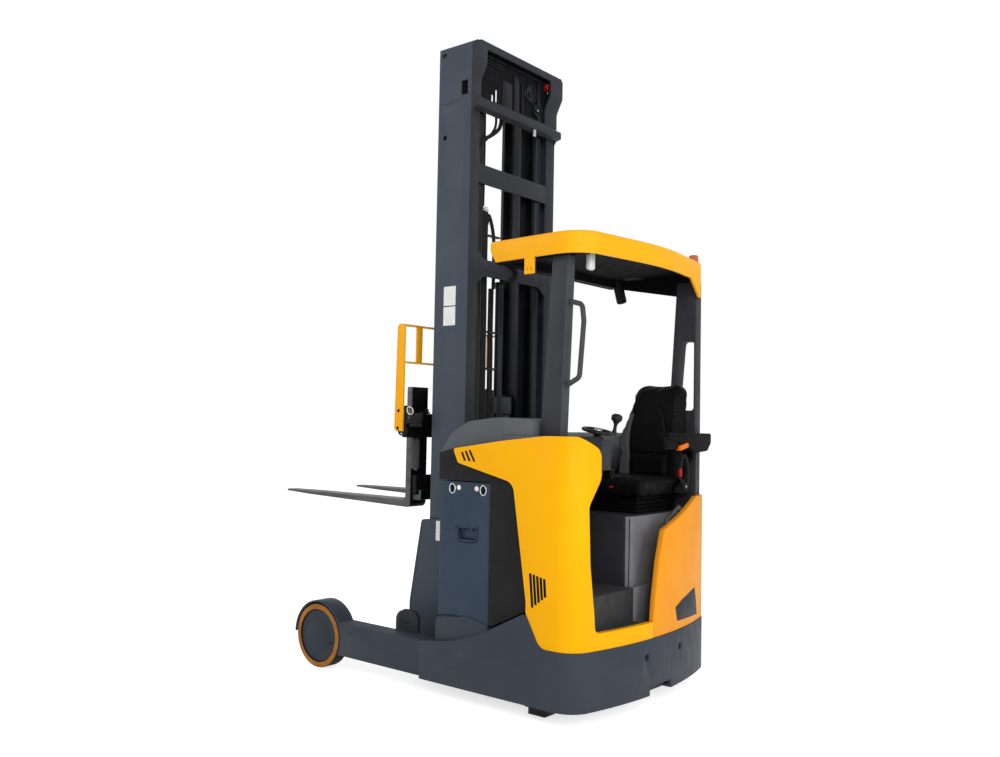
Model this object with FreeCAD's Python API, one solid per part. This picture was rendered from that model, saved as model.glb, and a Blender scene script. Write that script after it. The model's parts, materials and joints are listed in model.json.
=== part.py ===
"""Sit-on reach truck with a three-stage mast, built as separate pieces.

X points forward, towards the forks; Y points to the operator's left-hand wall, which the seat
faces; Z points up from the floor. Lengths along X are measured from the rear datum, the line
where the bowed rear face of the chassis starts to round off, and save() moves every piece so
that the origin lies on the floor under the middle of the whole truck. Sizes are millimetres.
"""
import FreeCAD, Part
import math
import os

V = FreeCAD.Vector

# ---- overall sizes -------------------------------------------------------------------------
overall_width = 1270.0
ground_clearance = 79.0
rear_bow = 9.0                    # how far the rear face bulges behind the datum
rear_bow_radius = 2140.0
rear_corner_radius = 130.0
running_gap = 5.0                 # between pieces that move past each other
rest_gap = 0.3                    # under soft pieces, and between round faces that meet
rod_fit = 0.05                    # radial clearance of a rod in its cylinder
axle_fit = 0.08                   # radial clearance of a wheel or neck on its bearing
plate = 12.0                      # the truck's usual sheet
past = 1.0                        # cutting shapes reach this far past what they cut
tall = 3000.0                     # longer than any piece that a cutting shape trims

# ---- battery bay ---------------------------------------------------------------------------
battery_x = 585.0
battery_length = 322.0
battery_bottom = 290.0
battery_height = 775.0
battery_side_gap = 28.0           # from the hull's outer side to the battery's side
battery_slack = 1.0               # between the battery and its tray
bay_floor_thickness = 14.0
bulkhead_thickness = 20.0
stop_thickness = 8.0              # lip in front of the battery
stop_height = 60.0
cheek_top = 412.0
cheek_front_top = 395.0
lifting_eye_radius = 17.0
lifting_eye_depth = 14.0
lifting_eye_drop = 36.0           # below the battery's top
lifting_eye_inset = 45.0          # from the battery's rear, and 32 more from its front
grip_x = 76.0                     # hand recess, from the battery's rear
grip_length = 130.0
grip_z = 787.0
grip_height = 56.0
grip_depth = 30.0

# ---- hull ----------------------------------------------------------------------------------
hull_wall = 20.0
hull_floor = 14.0
hull_past_battery = 95.0
hull_rear_top = 345.0             # top of the hull at the rear
hull_hip_top = 492.0              # its highest point, beside the driver
hull_hip_x = 345.0
hull_ramp_x = 262.0               # where the top starts to rise to the hip
hull_waist = (620.0, 352.0)       # two lower points of the long fall to the legs
hull_knee = (800.0, 294.0)
towing_hole_radius = 18.0
towing_hole_z = 262.0
towing_hole_y = (-190.0, 137.0)
notch_right = -90.0               # raised lower edge in the middle of the rear face
notch_left = 110.0
notch_height = 26.0

# ---- legs and load wheels ------------------------------------------------------------------
fender_plate = 18.0               # between the load wheel's bay and the forks
leg_bottom = 93.0
leg_height = 172.0
leg_flange = 25.0
leg_web = 20.0
leg_end_wall = 20.0
wheel_past_mast = 581.0           # from the mast's front to the load wheels' axis
load_wheel_radius = 171.5
load_wheel_width = 82.0
load_wheel_inset = 1.0            # from the leg's outer face
load_tyre_thickness = 29.0
tyre_edge_radius = 6.0
tyre_seam = 8.0                   # dark groove between tyre and disc
tyre_seam_depth = 14.0
disc_inset = 6.0                  # of the disc's face from the tyre's
fender_gap = 8.5
fender_skin = 10.0
load_axle_radius = 30.0
load_axle_inset = 30.0            # of the axle's end from the leg's outer face
foot_size = (95.0, 80.0, 45.0)    # stabiliser pad
foot_x = 250.0
foot_inset = 35.0                 # from the hull's side

# ---- drive unit ----------------------------------------------------------------------------
drive_x = 330.0
drive_y = -120.0
drive_wheel_radius = 171.5
drive_wheel_width = 114.0
drive_tyre_edge_radius = 10.0
drive_rim_radius = 120.0
drive_dish_radius = 104.0
drive_dish_depth = 35.0
drive_hub_radius = 50.0
drive_axle_radius = 25.0
drive_neck_radius = 70.0
drive_turntable_radius = 150.0
drive_crown_gap = 12.0            # between the wheel and the turntable above it
drive_leg_thickness = 44.0
drive_leg_top_width = 180.0
drive_leg_foot_width = 124.0
drive_leg_foot_z = 120.0
drive_deck_z = 420.0              # deck that carries the turntable
drive_deck_thickness = 16.0
drive_bearer_inset = 160.0
drive_motor_radius = 110.0
drive_motor_height = 250.0
drive_motor_flange = 20.0

# ---- cab -----------------------------------------------------------------------------------
cover_thickness = 30.0
cover_inset = 3.0                 # the covers stand this far inside the hull's outline
cover_past_battery = 3.0
grip_thickness = 10.0             # of the hand grip behind the rear cover
waist_z = 1300.0                  # top of the left-hand wall at its rear
sill_z = 420.0
step_z = 412.0
platform_z = 570.0
riser_x = 100.0
entry_right = 85.0                # Y of the rear cover's edge at the entry
entry_inset = 57.0                # of the opening's left-hand edge from the covers' inner face
right_waist_z = 990.0
cover_seam_x = 200.0              # between the rear cover and the right-hand one
bearer_width = 50.0
seat_box_top = 910.0
seat_box_rear = 122.0
seat_box_front = 560.0
seat_box_left = 95.0
seat_box_corner = 45.0
seat_x = 105.0
seat_width = 410.0
cushion_depth = 380.0
cushion_height = 90.0
cushion_edge_radius = 40.0
seat_base_height = 88.0
seat_top = 1596.0
armrest_z = 1322.0
armrest_x = 36.0
armrest_width = 50.0
armrest_length = 470.0
hood_past_battery = 12.0
hood_wall = 20.0
hood_edge_z = 1078.0
hump_z = 1382.0
hump_y = 330.0
hump_rear = 345.0
dash_gap = 60.0                   # from the battery's rear to the dash's front
dash_rear = 150.0
dash_bottom = 1080.0
dash_depth = 207.0                # of the dash's box from the covers' inner face
dash_nose = 135.0                 # how much further its nose reaches, under the hand wheel
dash_nose_x = 330.0
hand_wheel_radius = 78.0
hand_wheel_grip = 11.0
hand_wheel_x = 190.0
hand_wheel_inset = 312.0          # from the covers' inner face
hand_wheel_z = 1325.0
hand_wheel_tilt = 11.6            # degrees, towards the rear
hand_wheel_hub = 22.0
hub_depth = 10.0
spoke_radius = 5.0
knob_radius = 27.0
knob_depth = 40.0
knob_height = 98.0                # of its top above the ring
knob_angle = 222.0                # degrees from +X
column_radius = 16.0
lever_count = 3
lever_pitch = 24.0
lever_height = 60.0
lever_knob_radius = 9.0
pedal_x = (200.0, 330.0, 440.0)
pedal_width = 80.0
pedal_length = 120.0
pedal_thickness = 14.0

# ---- overhead guard ------------------------------------------------------------------------
roof_front = 660.0
roof_rear = 4.0
roof_inset = 30.0                 # of the roof's side from the hull's side
roof_shoulder_x = 245.0           # where the sides start to taper forwards
roof_front_taper = 35.0
roof_bottom = 2135.0
roof_rim = 105.0
roof_skin = 12.0
roof_sheet = 8.0
roof_sheet_gap = 40.0             # from the roof's lower face up to the steel sheet
roof_front_slant = 52.0           # how far the front edge runs back on its way down
roof_front_rise = 80.0
roof_skirt = 85.0                 # how far the rim drops around the rear right-hand corner
roof_skirt_y = 360.0              # where it starts to drop, from the middle
roof_skirt_x = 240.0
roof_tab_x = (361.0, 420.0)
roof_tab_drop = 77.0
roof_edge_radius = 16.0
roof_corner_radius = 140.0
roof_side_radius = 500.0
roof_rear_radius = 1300.0
roof_beam_width = 60.0
roof_beam_drop = 70.0             # how far the right-hand beam's gusset hangs down
pillar_inset = 75.0               # of both pillars' outer faces from the hull's side
pillar_width = 60.0
pillar_rear_x = 88.0
pillar_rear_depth = 115.0         # at the roof
pillar_rear_spread = 70.0         # how much deeper it is at its foot
pillar_slot = (98.0, 174.0, 1442.0, 1814.0)
pillar_slot_spread = 30.0
handle_radius = 12.0
handle_bend = 30.0
lamp_size = (40.0, 52.0, 97.0)
beacon_radius = 28.0
beacon_height = 46.0
beacon_x = 115.0
beacon_y = -520.0
camera_radius = 29.0
camera_top = (592.0, -497.0, 2200.0)
camera_foot = (562.0, -513.0, 2056.0)

# ---- mast ----------------------------------------------------------------------------------
mast_half_width = 378.0
mast_bottom = 150.0
mast_height = 3231.0
mast_battery_gap = 51.0
cylinder_bay = 90.0               # from the mast's rear plates to its channels
rail_depth = 143.0                # of each channel, along X
rail_flange = 18.0
rail_web = 16.0
rail_reach = 60.0                 # of each channel, along Y
rail_gap = 6.0                    # between the middle and the inner stage, and inside the inner
outer_rail_gap = 18.0             # between the outer and the middle stage
middle_stage_drop = 30.0          # of the middle stage's top from the outer's
inner_stage_drop = 40.0
mast_roller_width = 34.0
mast_roller_axle = 16.0
mast_roller_boss = 4.0
mast_roller_heights = (65.0, 405.0)
rear_plate_thickness = 12.0
rear_plate_width = 72.0
stage_bar_height = 90.0
upper_bar_drop = (744.0, 641.0)   # of its lower and upper edge from the mast's top
arched_bar_drop = (1291.0, 1101.0)
arched_bar_rise = 50.0
head_depth = 53.0                 # how far the head box stands behind the mast
head_height = 361.0
head_bend = 40.0                  # how much further forwards its foot stands
head_bend_drop = 120.0            # from the mast's top down to the bend
head_beam_depth = 34.0
head_beam_height = 52.0
head_window_y = (-265.0, 315.0)
head_window_drop = (286.0, 38.0)
head_window_radius = 12.0
lifting_hole_radius = 14.0
side_slot_x = (27.0, 72.0)        # from the mast's rear
side_slot_drop = (279.0, 200.0)
lift_barrel_radius = 26.0
lift_rod_radius = 18.0
lift_cylinder_inset = 42.0        # of its axis from the mast's rear
lift_cylinder_y = 256.0
lift_barrel_drop = 261.0
lift_rod_foot = 60.0
lift_rod_drop = 110.0             # of the rods' heads from the mast's top
lift_head_thickness = 30.0

# ---- reach carriage ------------------------------------------------------------------------
arm_thickness = 18.0
arm_leg_gap = 7.0
arm_bottom_gap = 12.0             # above the legs' lower edge
arm_top_gap = 10.0
arm_past_mast = 97.0
arm_horn_z = 365.0
beam_thickness = 35.0
web_top = 330.0
web_thickness = 14.0
gusset_top = 841.0
gusset_past_mast = 125.0
roller_pin_radius = 20.0
roller_pin_length = 14.0
roller_x = (652.0, 980.0)
reach_cylinder_y = 200.0
reach_barrel_radius = 40.0
reach_rod_radius = 20.0
reach_barrel_rear = 415.0
reach_barrel_gap = 13.0           # between its open end and the carriage
reach_foot_length = 60.0
reach_foot_width = 100.0
lug_thickness = 30.0
lug_wall = 8.0

# ---- forks ---------------------------------------------------------------------------------
fork_stand_off = 216.0            # of the forks' heels from the mast's front
fork_length = 1070.0
fork_width = 124.0
fork_thickness = 40.0
fork_spread = 288.0               # from the middle to a fork's centre line
fork_top = 922.0
shank_top = 1545.0
heel_outer_radius = 30.0
heel_inner_radius = 24.0
tip_height = 6.0
hook_depth = 24.0
hook_inset = 20.0
hook_height = 30.0
hook_lip = 34.0
bar_thickness = 32.0
bar_height = 100.0
lower_bar_z = 960.0
upper_bar_z = 1267.0
bar_half_width = 430.0
lower_bar_half_width = 344.0
carriage_arm_thickness = 18.0
carriage_arm_low = 1010.0
carriage_arm_top = 1552.0
carriage_post_width = 30.0
carriage_roller_z = (1080.0, 1440.0)
ear_z = (1290.0, 1440.0)
backrest_top = 1888.0
backrest_foot = 1300.0
backrest_plate = 10.0
backrest_bar = 8.0
backrest_bar_z = 1674.0
backrest_stand_off = 20.0         # of its rear edge from the bars' rear face
backrest_depth = 54.0
upright_y = 284.0
upright_width = 42.0

# ---- what follows from them ----------------------------------------------------------------
half_width = overall_width / 2
leg_width = fender_plate + 2 * running_gap + load_wheel_width
leg_inner = half_width - leg_width
leg_top = leg_bottom + leg_height
battery_half = half_width - battery_side_gap
battery_front = battery_x + battery_length
battery_top = battery_bottom + battery_height
hull_front = battery_front + hull_past_battery
hull_floor_top = ground_clearance + hull_floor
cab_front = battery_x - bulkhead_thickness
cab_side = half_width - cover_inset - cover_thickness
entry_left = cab_side - entry_inset
dash_front = battery_x - dash_gap
hand_wheel_y = cab_side - hand_wheel_inset
seat_z = seat_box_top + seat_base_height + rest_gap
pillar_y = half_width - pillar_inset
pillar_inner = pillar_y - pillar_width
roof_top = roof_bottom + roof_rim
roof_lining_z = roof_top - roof_skin
roof_sheet_z = roof_bottom + roof_sheet_gap
mast_top = mast_bottom + mast_height
mast_rear = battery_front + mast_battery_gap
rail_x = mast_rear + cylinder_bay
mast_front = rail_x + rail_depth
lift_cylinder_x = mast_rear + lift_cylinder_inset
middle_face = mast_half_width - rail_reach - outer_rail_gap
inner_face = middle_face - rail_reach - rail_gap
carriage_face = inner_face - rail_reach - rail_gap
arm_outer = leg_inner - arm_leg_gap
arm_inner = arm_outer - arm_thickness
roller_inner = arm_outer + roller_pin_length
roller_outer = half_width - hull_wall - leg_web - running_gap
roller_radius = leg_height / 2 - leg_flange - running_gap
reach_axis_z = leg_bottom + leg_height / 2
load_wheel_x = mast_front + wheel_past_mast
load_wheel_outer = half_width - load_wheel_inset
load_wheel_inner = load_wheel_outer - load_wheel_width
load_tyre_bore = load_wheel_radius - load_tyre_thickness
fender_radius = load_wheel_radius + fender_gap + fender_skin
fork_heel_x = mast_front + fork_stand_off
fork_tip_x = fork_heel_x + fork_length
shank_x = fork_heel_x - fork_thickness
bar_x = shank_x - running_gap - bar_thickness
origin_x = (fork_tip_x - rear_bow) / 2


# ---- helpers -------------------------------------------------------------------------------
def save(name, *shapes):
    """Write the shapes as one sub-part, in the truck's own frame."""
    solids = [solid for shape in shapes for solid in shape.Solids]
    result = solids[0] if len(solids) == 1 else Part.Compound(solids)
    result.translate(V(-origin_x, 0, 0))
    result.exportStep("parts/" + name + ".step")


def box(x0, x1, y0, y1, z0, z1):
    return Part.makeBox(x1 - x0, y1 - y0, z1 - z0, V(x0, y0, z0))


def rod(radius, start, end):
    along = V(*end) - V(*start)
    return Part.makeCylinder(radius, along.Length, V(*start), along)


def tube(outer, inner, start, end):
    return rod(outer, start, end).cut(rod(inner, start, end))


def mirrored(shape):
    return shape.mirror(V(0, 0, 0), V(0, 1, 0))


def with_mirrored(pieces):
    """The left-hand pieces, and their mirror images on the right."""
    return pieces + [mirrored(piece) for piece in pieces]


def fused(*shapes):
    return shapes[0].multiFuse(list(shapes[1:])).removeSplitter()


def rounded_face(corners, place):
    """A flat face; each corner is (u, v) or (u, v, radius), and place puts it in space."""
    ends = []
    count = len(corners)
    for i, corner in enumerate(corners):
        here = V(corner[0], corner[1], 0)
        radius = corner[2] if len(corner) > 2 else 0
        if radius == 0:
            ends.append((here, here, here))
            continue
        before = V(corners[i - 1][0], corners[i - 1][1], 0) - here
        after = V(corners[(i + 1) % count][0], corners[(i + 1) % count][1], 0) - here
        half_angle = before.getAngle(after) / 2
        setback = radius / math.tan(half_angle)
        bisector = (before.normalize() + after.normalize()).normalize()
        centre = here + bisector * (radius / math.sin(half_angle))
        ends.append((here + before * setback, centre - bisector * radius, here + after * setback))
    edges = []
    for i, (start, middle, end) in enumerate(ends):
        if start.distanceToPoint(end) > 1e-6:
            edges.append(Part.Arc(place(start), place(middle), place(end)).toShape())
        following = ends[(i + 1) % count][0]
        if end.distanceToPoint(following) > 1e-6:
            edges.append(Part.LineSegment(place(end), place(following)).toShape())
    return Part.Face(Part.Wire(edges))


def side_plate(corners, y0, y1):
    """A plate with an (x, z) outline, from y0 to y1."""
    return rounded_face(corners, lambda p: V(p.x, y0, p.y)).extrude(V(0, y1 - y0, 0))


def plan_plate(corners, z0, z1):
    """A plate with an (x, y) outline, from z0 to z1."""
    return rounded_face(corners, lambda p: V(p.x, p.y, z0)).extrude(V(0, 0, z1 - z0))


def cross_plate(corners, x0, x1):
    """A plate with a (y, z) outline, from x0 to x1."""
    return rounded_face(corners, lambda p: V(x0, p.x, p.y)).extrude(V(x1 - x0, 0, 0))


def bent_bar(points, radius, bend):
    """A round bar along straight runs joined by tangent arcs."""
    edges = []
    start = points[0]
    for i in range(1, len(points) - 1):
        back = (points[i - 1] - points[i]).normalize()
        ahead = (points[i + 1] - points[i]).normalize()
        half_angle = back.getAngle(ahead) / 2
        setback = bend / math.tan(half_angle)
        bisector = (back + ahead).normalize()
        centre = points[i] + bisector * (bend / math.sin(half_angle))
        first = points[i] + back * setback
        last = points[i] + ahead * setback
        edges.append(Part.LineSegment(start, first).toShape())
        edges.append(Part.Arc(first, centre - bisector * bend, last).toShape())
        start = last
    edges.append(Part.LineSegment(start, points[-1]).toShape())
    profile = Part.Wire([Part.makeCircle(radius, points[0], points[1] - points[0])])
    return Part.Wire(edges).makePipeShell([profile], True, False, 1)


def hull_block(inset, front, z0, z1):
    """The hull's plan outline, drawn in by inset, between two heights."""
    side = half_width - inset
    bow_centre = V(rear_bow_radius - rear_bow, 0, z0)
    block = box(inset - rear_bow, hull_front, -side, side, z0, z1)
    block = block.common(Part.makeCylinder(rear_bow_radius - inset, z1 - z0, bow_centre))
    rear_edges = [edge for edge in block.Edges
                  if abs(abs(edge.CenterOfMass.y) - side) < 0.01
                  and edge.CenterOfMass.x < hull_front - past
                  and abs(edge.tangentAt(edge.FirstParameter).z) > 0.9]
    block = block.makeFillet(rear_corner_radius - inset, rear_edges)
    return block.common(box(-rear_bow - past, front, -side, side, z0, z1))


def cab_space(z0, z1):
    """The plan of the space inside the covers."""
    return hull_block(cover_inset + cover_thickness + rest_gap, hull_front, z0, z1)


# ---- chassis -------------------------------------------------------------------------------
def chassis_base():
    low = ground_clearance
    behind = -2 * rear_corner_radius
    profile = side_plate([(behind, low), (behind, hull_rear_top), (hull_ramp_x, hull_rear_top, 60),
                          (hull_hip_x, hull_hip_top, 25), (*hull_waist, 200), (*hull_knee, 300),
                          (hull_front, leg_top), (hull_front, low)], -half_width, half_width)
    above = hull_hip_top + past
    hull = hull_block(0, hull_front, low, above).common(profile)
    rear_room = hull_block(hull_wall, cab_front, hull_floor_top, above + past)
    inner_side = half_width - hull_wall
    battery_room = box(battery_x, hull_front + past, -inner_side, inner_side, 0, above)
    well_radius = math.hypot(drive_wheel_radius, drive_wheel_width / 2) + 4 * running_gap
    well = rod(well_radius, (drive_x, drive_y, 0), (drive_x, drive_y, hull_floor_top + past))
    barrel_hole = rod(reach_barrel_radius + running_gap,
                      (cab_front - past, reach_cylinder_y, reach_axis_z),
                      (battery_x + past, reach_cylinder_y, reach_axis_z))
    rear_wall_end = 2 * hull_wall
    notch = box(-rear_bow - past, rear_wall_end, notch_right, notch_left, low - past,
                hull_floor_top + notch_height)
    towing_holes = [rod(towing_hole_radius, (-rear_bow - past, y, towing_hole_z),
                        (rear_wall_end, y, towing_hole_z)) for y in towing_hole_y]
    cuts = [rear_room, battery_room, well, barrel_hole, notch] + towing_holes
    for cut in cuts:
        hull = hull.cut(cut)
    return hull


def drive_deck():
    """Deck across the hull that carries the turntable, with its two bearers."""
    low = drive_deck_z - drive_deck_thickness
    deck = box(seat_box_rear, cab_front, -cab_side, seat_box_left, low, drive_deck_z)
    deck = deck.common(cab_space(low, drive_deck_z))
    deck = deck.cut(rod(drive_neck_radius + axle_fit, (drive_x, drive_y, low - past),
                        (drive_x, drive_y, drive_deck_z + past)))
    bearers = [box(seat_box_rear, cab_front, y, y + plate, hull_floor_top, low)
               for y in (drive_bearer_inset + hull_wall - half_width, seat_box_left - plate)]
    return fused(deck, *bearers)


def battery_tray():
    low = battery_bottom - bay_floor_thickness
    side = half_width - hull_wall
    stop_x = battery_front + battery_slack
    tray = box(battery_x, stop_x + stop_thickness, -side, side, low, battery_bottom)
    stop = box(stop_x, stop_x + stop_thickness, -side, side, battery_bottom, battery_bottom + stop_height)
    cheek = side_plate([(cab_front, battery_bottom), (cab_front, cheek_top - 24, 10),
                        (battery_x + 115, cheek_top + 8, 160),
                        (stop_x + stop_thickness, cheek_front_top, 30),
                        (stop_x + stop_thickness, battery_bottom)], battery_half + battery_slack, side)
    cheek = cheek.common(box(battery_x, hull_front, 0, side, 0, tall))
    return fused(tray, stop, cheek, mirrored(cheek))


def battery():
    block = box(battery_x + battery_slack, battery_front, -battery_half, battery_half,
                battery_bottom, battery_top)
    grip_floor = battery_half - grip_depth
    grip = box(battery_x + grip_x, battery_x + grip_x + grip_length, grip_floor, battery_half + past,
               grip_z, grip_z + grip_height)
    cuts = [grip]
    eye_z = battery_top - lifting_eye_drop
    for x in (battery_x + lifting_eye_inset, battery_front - lifting_eye_inset - 2 * lifting_eye_radius):
        cuts.append(rod(lifting_eye_radius, (x, battery_half - lifting_eye_depth, eye_z),
                        (x, battery_half + past, eye_z)))
    return block.cut(Part.Compound(with_mirrored(cuts)))


def leg():
    """Left-hand leg: a channel for the reach rollers, then the load wheel's fender."""
    web_face = half_width - hull_wall
    bay_rear = load_wheel_x - fender_radius - leg_end_wall
    wheel_room = leg_inner + fender_plate
    channel = box(battery_x, bay_rear, leg_inner, web_face, leg_bottom, leg_top)
    channel = channel.cut(box(battery_x - past, bay_rear - leg_end_wall, leg_inner - past,
                              web_face - leg_web, leg_bottom + leg_flange, leg_top - leg_flange))
    outer_skin = box(hull_front, load_wheel_x, web_face, half_width, leg_bottom, leg_top)
    solid_end = box(bay_rear - leg_end_wall, load_wheel_x, leg_inner, half_width, leg_bottom, leg_top)
    fender = rod(fender_radius, (load_wheel_x, leg_inner, load_wheel_radius),
                 (load_wheel_x, half_width, load_wheel_radius))
    inner_plate = fender.common(box(0, tall, leg_inner, wheel_room, leg_bottom, tall))
    fender = fender.common(box(0, tall, 0, half_width, load_wheel_radius, tall))
    shape = fused(channel, outer_skin, solid_end, fender, inner_plate)
    shape = shape.cut(rod(load_wheel_radius + fender_gap, (load_wheel_x, wheel_room, load_wheel_radius),
                          (load_wheel_x, half_width + past, load_wheel_radius)))
    axle = rod(load_axle_radius, (load_wheel_x, wheel_room - past, load_wheel_radius),
               (load_wheel_x, half_width - load_axle_inset, load_wheel_radius))
    return fused(shape, axle)


def load_wheel():
    """Left-hand tyre and disc."""
    def at(y):
        return load_wheel_x, y, load_wheel_radius
    tyre = tube(load_wheel_radius, load_tyre_bore, at(load_wheel_inner), at(load_wheel_outer))
    tread_edges = [edge for edge in tyre.Edges if edge.Length > 2 * math.pi * (load_wheel_radius - past)]
    disc = rod(load_tyre_bore, at(load_wheel_inner), at(load_wheel_outer - disc_inset))
    groove = tube(load_tyre_bore + past, load_tyre_bore - tyre_seam,
                  at(load_wheel_outer - tyre_seam_depth), at(load_wheel_outer))
    axle_hole = rod(load_axle_radius + axle_fit, at(load_wheel_inner - past),
                    at(half_width - load_axle_inset + past))
    return tyre.makeFillet(tyre_edge_radius, tread_edges), disc.cut(groove).cut(axle_hole)


def foot():
    """Stabiliser pad under the rear left-hand corner, with its mounting plate."""
    length, width, height = foot_size
    top = ground_clearance
    side = half_width - foot_inset
    pad = box(foot_x, foot_x + length, side - width, side, top - height, top)
    base = box(foot_x - plate, foot_x + length + plate, side - width - plate, side + plate, top - plate, top)
    return fused(pad, base)


# ---- drive unit ----------------------------------------------------------------------------
def drive_unit():
    """Turntable, neck and side leg that hold the drive wheel's axle."""
    crown_z = 2 * drive_wheel_radius + drive_crown_gap
    side = drive_y + drive_wheel_width / 2 + 2 * running_gap
    turntable = rod(drive_turntable_radius, (drive_x, drive_y, crown_z),
                    (drive_x, drive_y, drive_deck_z - drive_deck_thickness - running_gap))
    neck = rod(drive_neck_radius, (drive_x, drive_y, crown_z), (drive_x, drive_y, drive_deck_z))
    foot_half = drive_leg_foot_width / 2
    top_half = drive_leg_top_width / 2
    gear_leg = side_plate([(drive_x - foot_half, drive_leg_foot_z, 55), (drive_x - top_half, crown_z + past),
                           (drive_x + top_half, crown_z + past), (drive_x + foot_half, drive_leg_foot_z, 55)],
                          side, side + drive_leg_thickness)
    axle_y = drive_y - drive_wheel_width / 2 + running_gap
    axle = rod(drive_axle_radius, (drive_x, axle_y, drive_wheel_radius),
               (drive_x, side + past, drive_wheel_radius))
    return fused(turntable, neck, gear_leg, axle)


def drive_wheel():
    low_y = drive_y - drive_wheel_width / 2
    start = (drive_x, low_y, drive_wheel_radius)
    end = (drive_x, low_y + drive_wheel_width, drive_wheel_radius)
    tyre = tube(drive_wheel_radius, drive_rim_radius, start, end)
    tread_edges = [edge for edge in tyre.Edges if edge.Length > 2 * math.pi * (drive_wheel_radius - past)]
    rim = tube(drive_rim_radius, drive_axle_radius + axle_fit, start, end)
    dish = tube(drive_dish_radius, drive_hub_radius, start,
                (drive_x, low_y + drive_dish_depth, drive_wheel_radius))
    return tyre.makeFillet(drive_tyre_edge_radius, tread_edges), rim.cut(dish)


def drive_motor():
    """Motor over the turntable's neck, on a flange that is bolted to the deck."""
    low = drive_deck_z + running_gap
    flange_top = low + plate
    high = low + drive_motor_height
    return fused(rod(drive_motor_radius, (drive_x, drive_y, low), (drive_x, drive_y, high)),
                 tube(drive_motor_radius + drive_motor_flange, drive_neck_radius + running_gap,
                      (drive_x, drive_y, drive_deck_z), (drive_x, drive_y, flange_top)))


# ---- covers --------------------------------------------------------------------------------
def cover_ring(z0, z1):
    """The covers' wall, following the hull's outline, from the rear to the battery."""
    front = battery_front + cover_past_battery
    outer = hull_block(cover_inset, front, z0, z1)
    return outer.cut(hull_block(cover_inset + cover_thickness, front + past, z0 - past, z1 + past))


def side_outline(y0, y1, raised):
    """Outline of a side cover; raised is the height of its top edge at the rear."""
    behind = -rear_corner_radius
    return side_plate([(behind, hull_rear_top), (hull_ramp_x, hull_rear_top, 60),
                       (hull_hip_x, hull_hip_top, 25), (hull_hip_x, hull_hip_top + 48, 60),
                       (battery_x - 153, battery_top + 13, 60), (battery_front - 132, battery_top + 93, 20),
                       (battery_front - 99, waist_z - 74, 12), (battery_x - 71, waist_z - 30, 400),
                       (250, raised, 200), (behind, raised)], y0, y1)


def entry_cut():
    """The rear way in: clear of the sill, up past the curved left-hand edge of the opening."""
    left = entry_left
    above = waist_z + 40
    return cross_plate([(entry_right, sill_z), (left - 46, sill_z, 30), (left - 40, sill_z + 80, 200),
                        (left - 12, 730, 400), (left - 1, 990, 60), (left - 71, 1110, 60),
                        (left - 70, 1240, 60), (left + 130, above), (entry_right, above)],
                       -rear_corner_radius, rear_corner_radius)


def side_panel_left():
    wall = cover_ring(hull_rear_top, waist_z)
    return wall.common(side_outline(entry_right, half_width, waist_z)).cut(entry_cut())


def side_panel_right():
    """Right-hand cover, from the battery back to the rear cover's seam."""
    wall = cover_ring(hull_rear_top, waist_z)
    wall = wall.common(side_outline(-half_width, -entry_right, right_waist_z))
    return wall.cut(box(-rear_corner_radius, cover_seam_x, -half_width, 0, 0, tall))


def rear_cover():
    """Cover behind the seat; its top edge falls towards the entry."""
    right = -half_width
    outline = cross_plate([(entry_right - 2, hull_rear_top), (entry_right - 19, 519, 200), (32, 707, 200),
                           (-14, 850, 20), (-216, 913, 400), (-432, right_waist_z),
                           (right, right_waist_z), (right, hull_rear_top)],
                          -rear_corner_radius, cover_seam_x - 2)
    return cover_ring(hull_rear_top, waist_z).common(outline)


def entry_grip():
    """Sloping hand grip behind the rear cover's top edge, with a slot for the fingers."""
    z0 = seat_box_top - 90
    z1 = seat_box_top + 60
    inset = cover_inset + cover_thickness + rest_gap
    wall = hull_block(inset, seat_box_rear, z0, z1)
    wall = wall.cut(hull_block(inset + grip_thickness, seat_box_rear, z0 - past, z1 + past))
    outline = cross_plate([(-78, 892, 10), (-242, 957, 14), (-290, 932, 14), (-290, 850), (-100, 830)],
                          -rear_corner_radius, seat_box_rear)
    slot = cross_plate([(-118, 890, 6), (-232, 934, 8), (-262, 918, 8), (-262, 896, 6), (-132, 862, 6)],
                       -rear_corner_radius, seat_box_rear)
    return wall.common(outline).cut(slot)


def trim():
    """Left-hand dark frame between the battery and the side cover, and over the battery."""
    front = battery_front + cover_past_battery
    rear = battery_x - cover_past_battery
    low = hull_hip_top - 92
    outline = [(hull_hip_x, hull_hip_top + 8), (hull_hip_x, battery_top + 35), (battery_front - 207, 1220),
               (battery_front - 77, 1224), (front, 1204), (front, battery_top + 6), (rear, battery_top + 6),
               (rear, low), (555, low)]
    frame = side_plate(outline, cab_side, half_width - hull_wall)
    edge = side_outline(0, half_width, waist_z)
    edge.translate(V(4, 0, -4))
    return frame.cut(edge)


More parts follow.
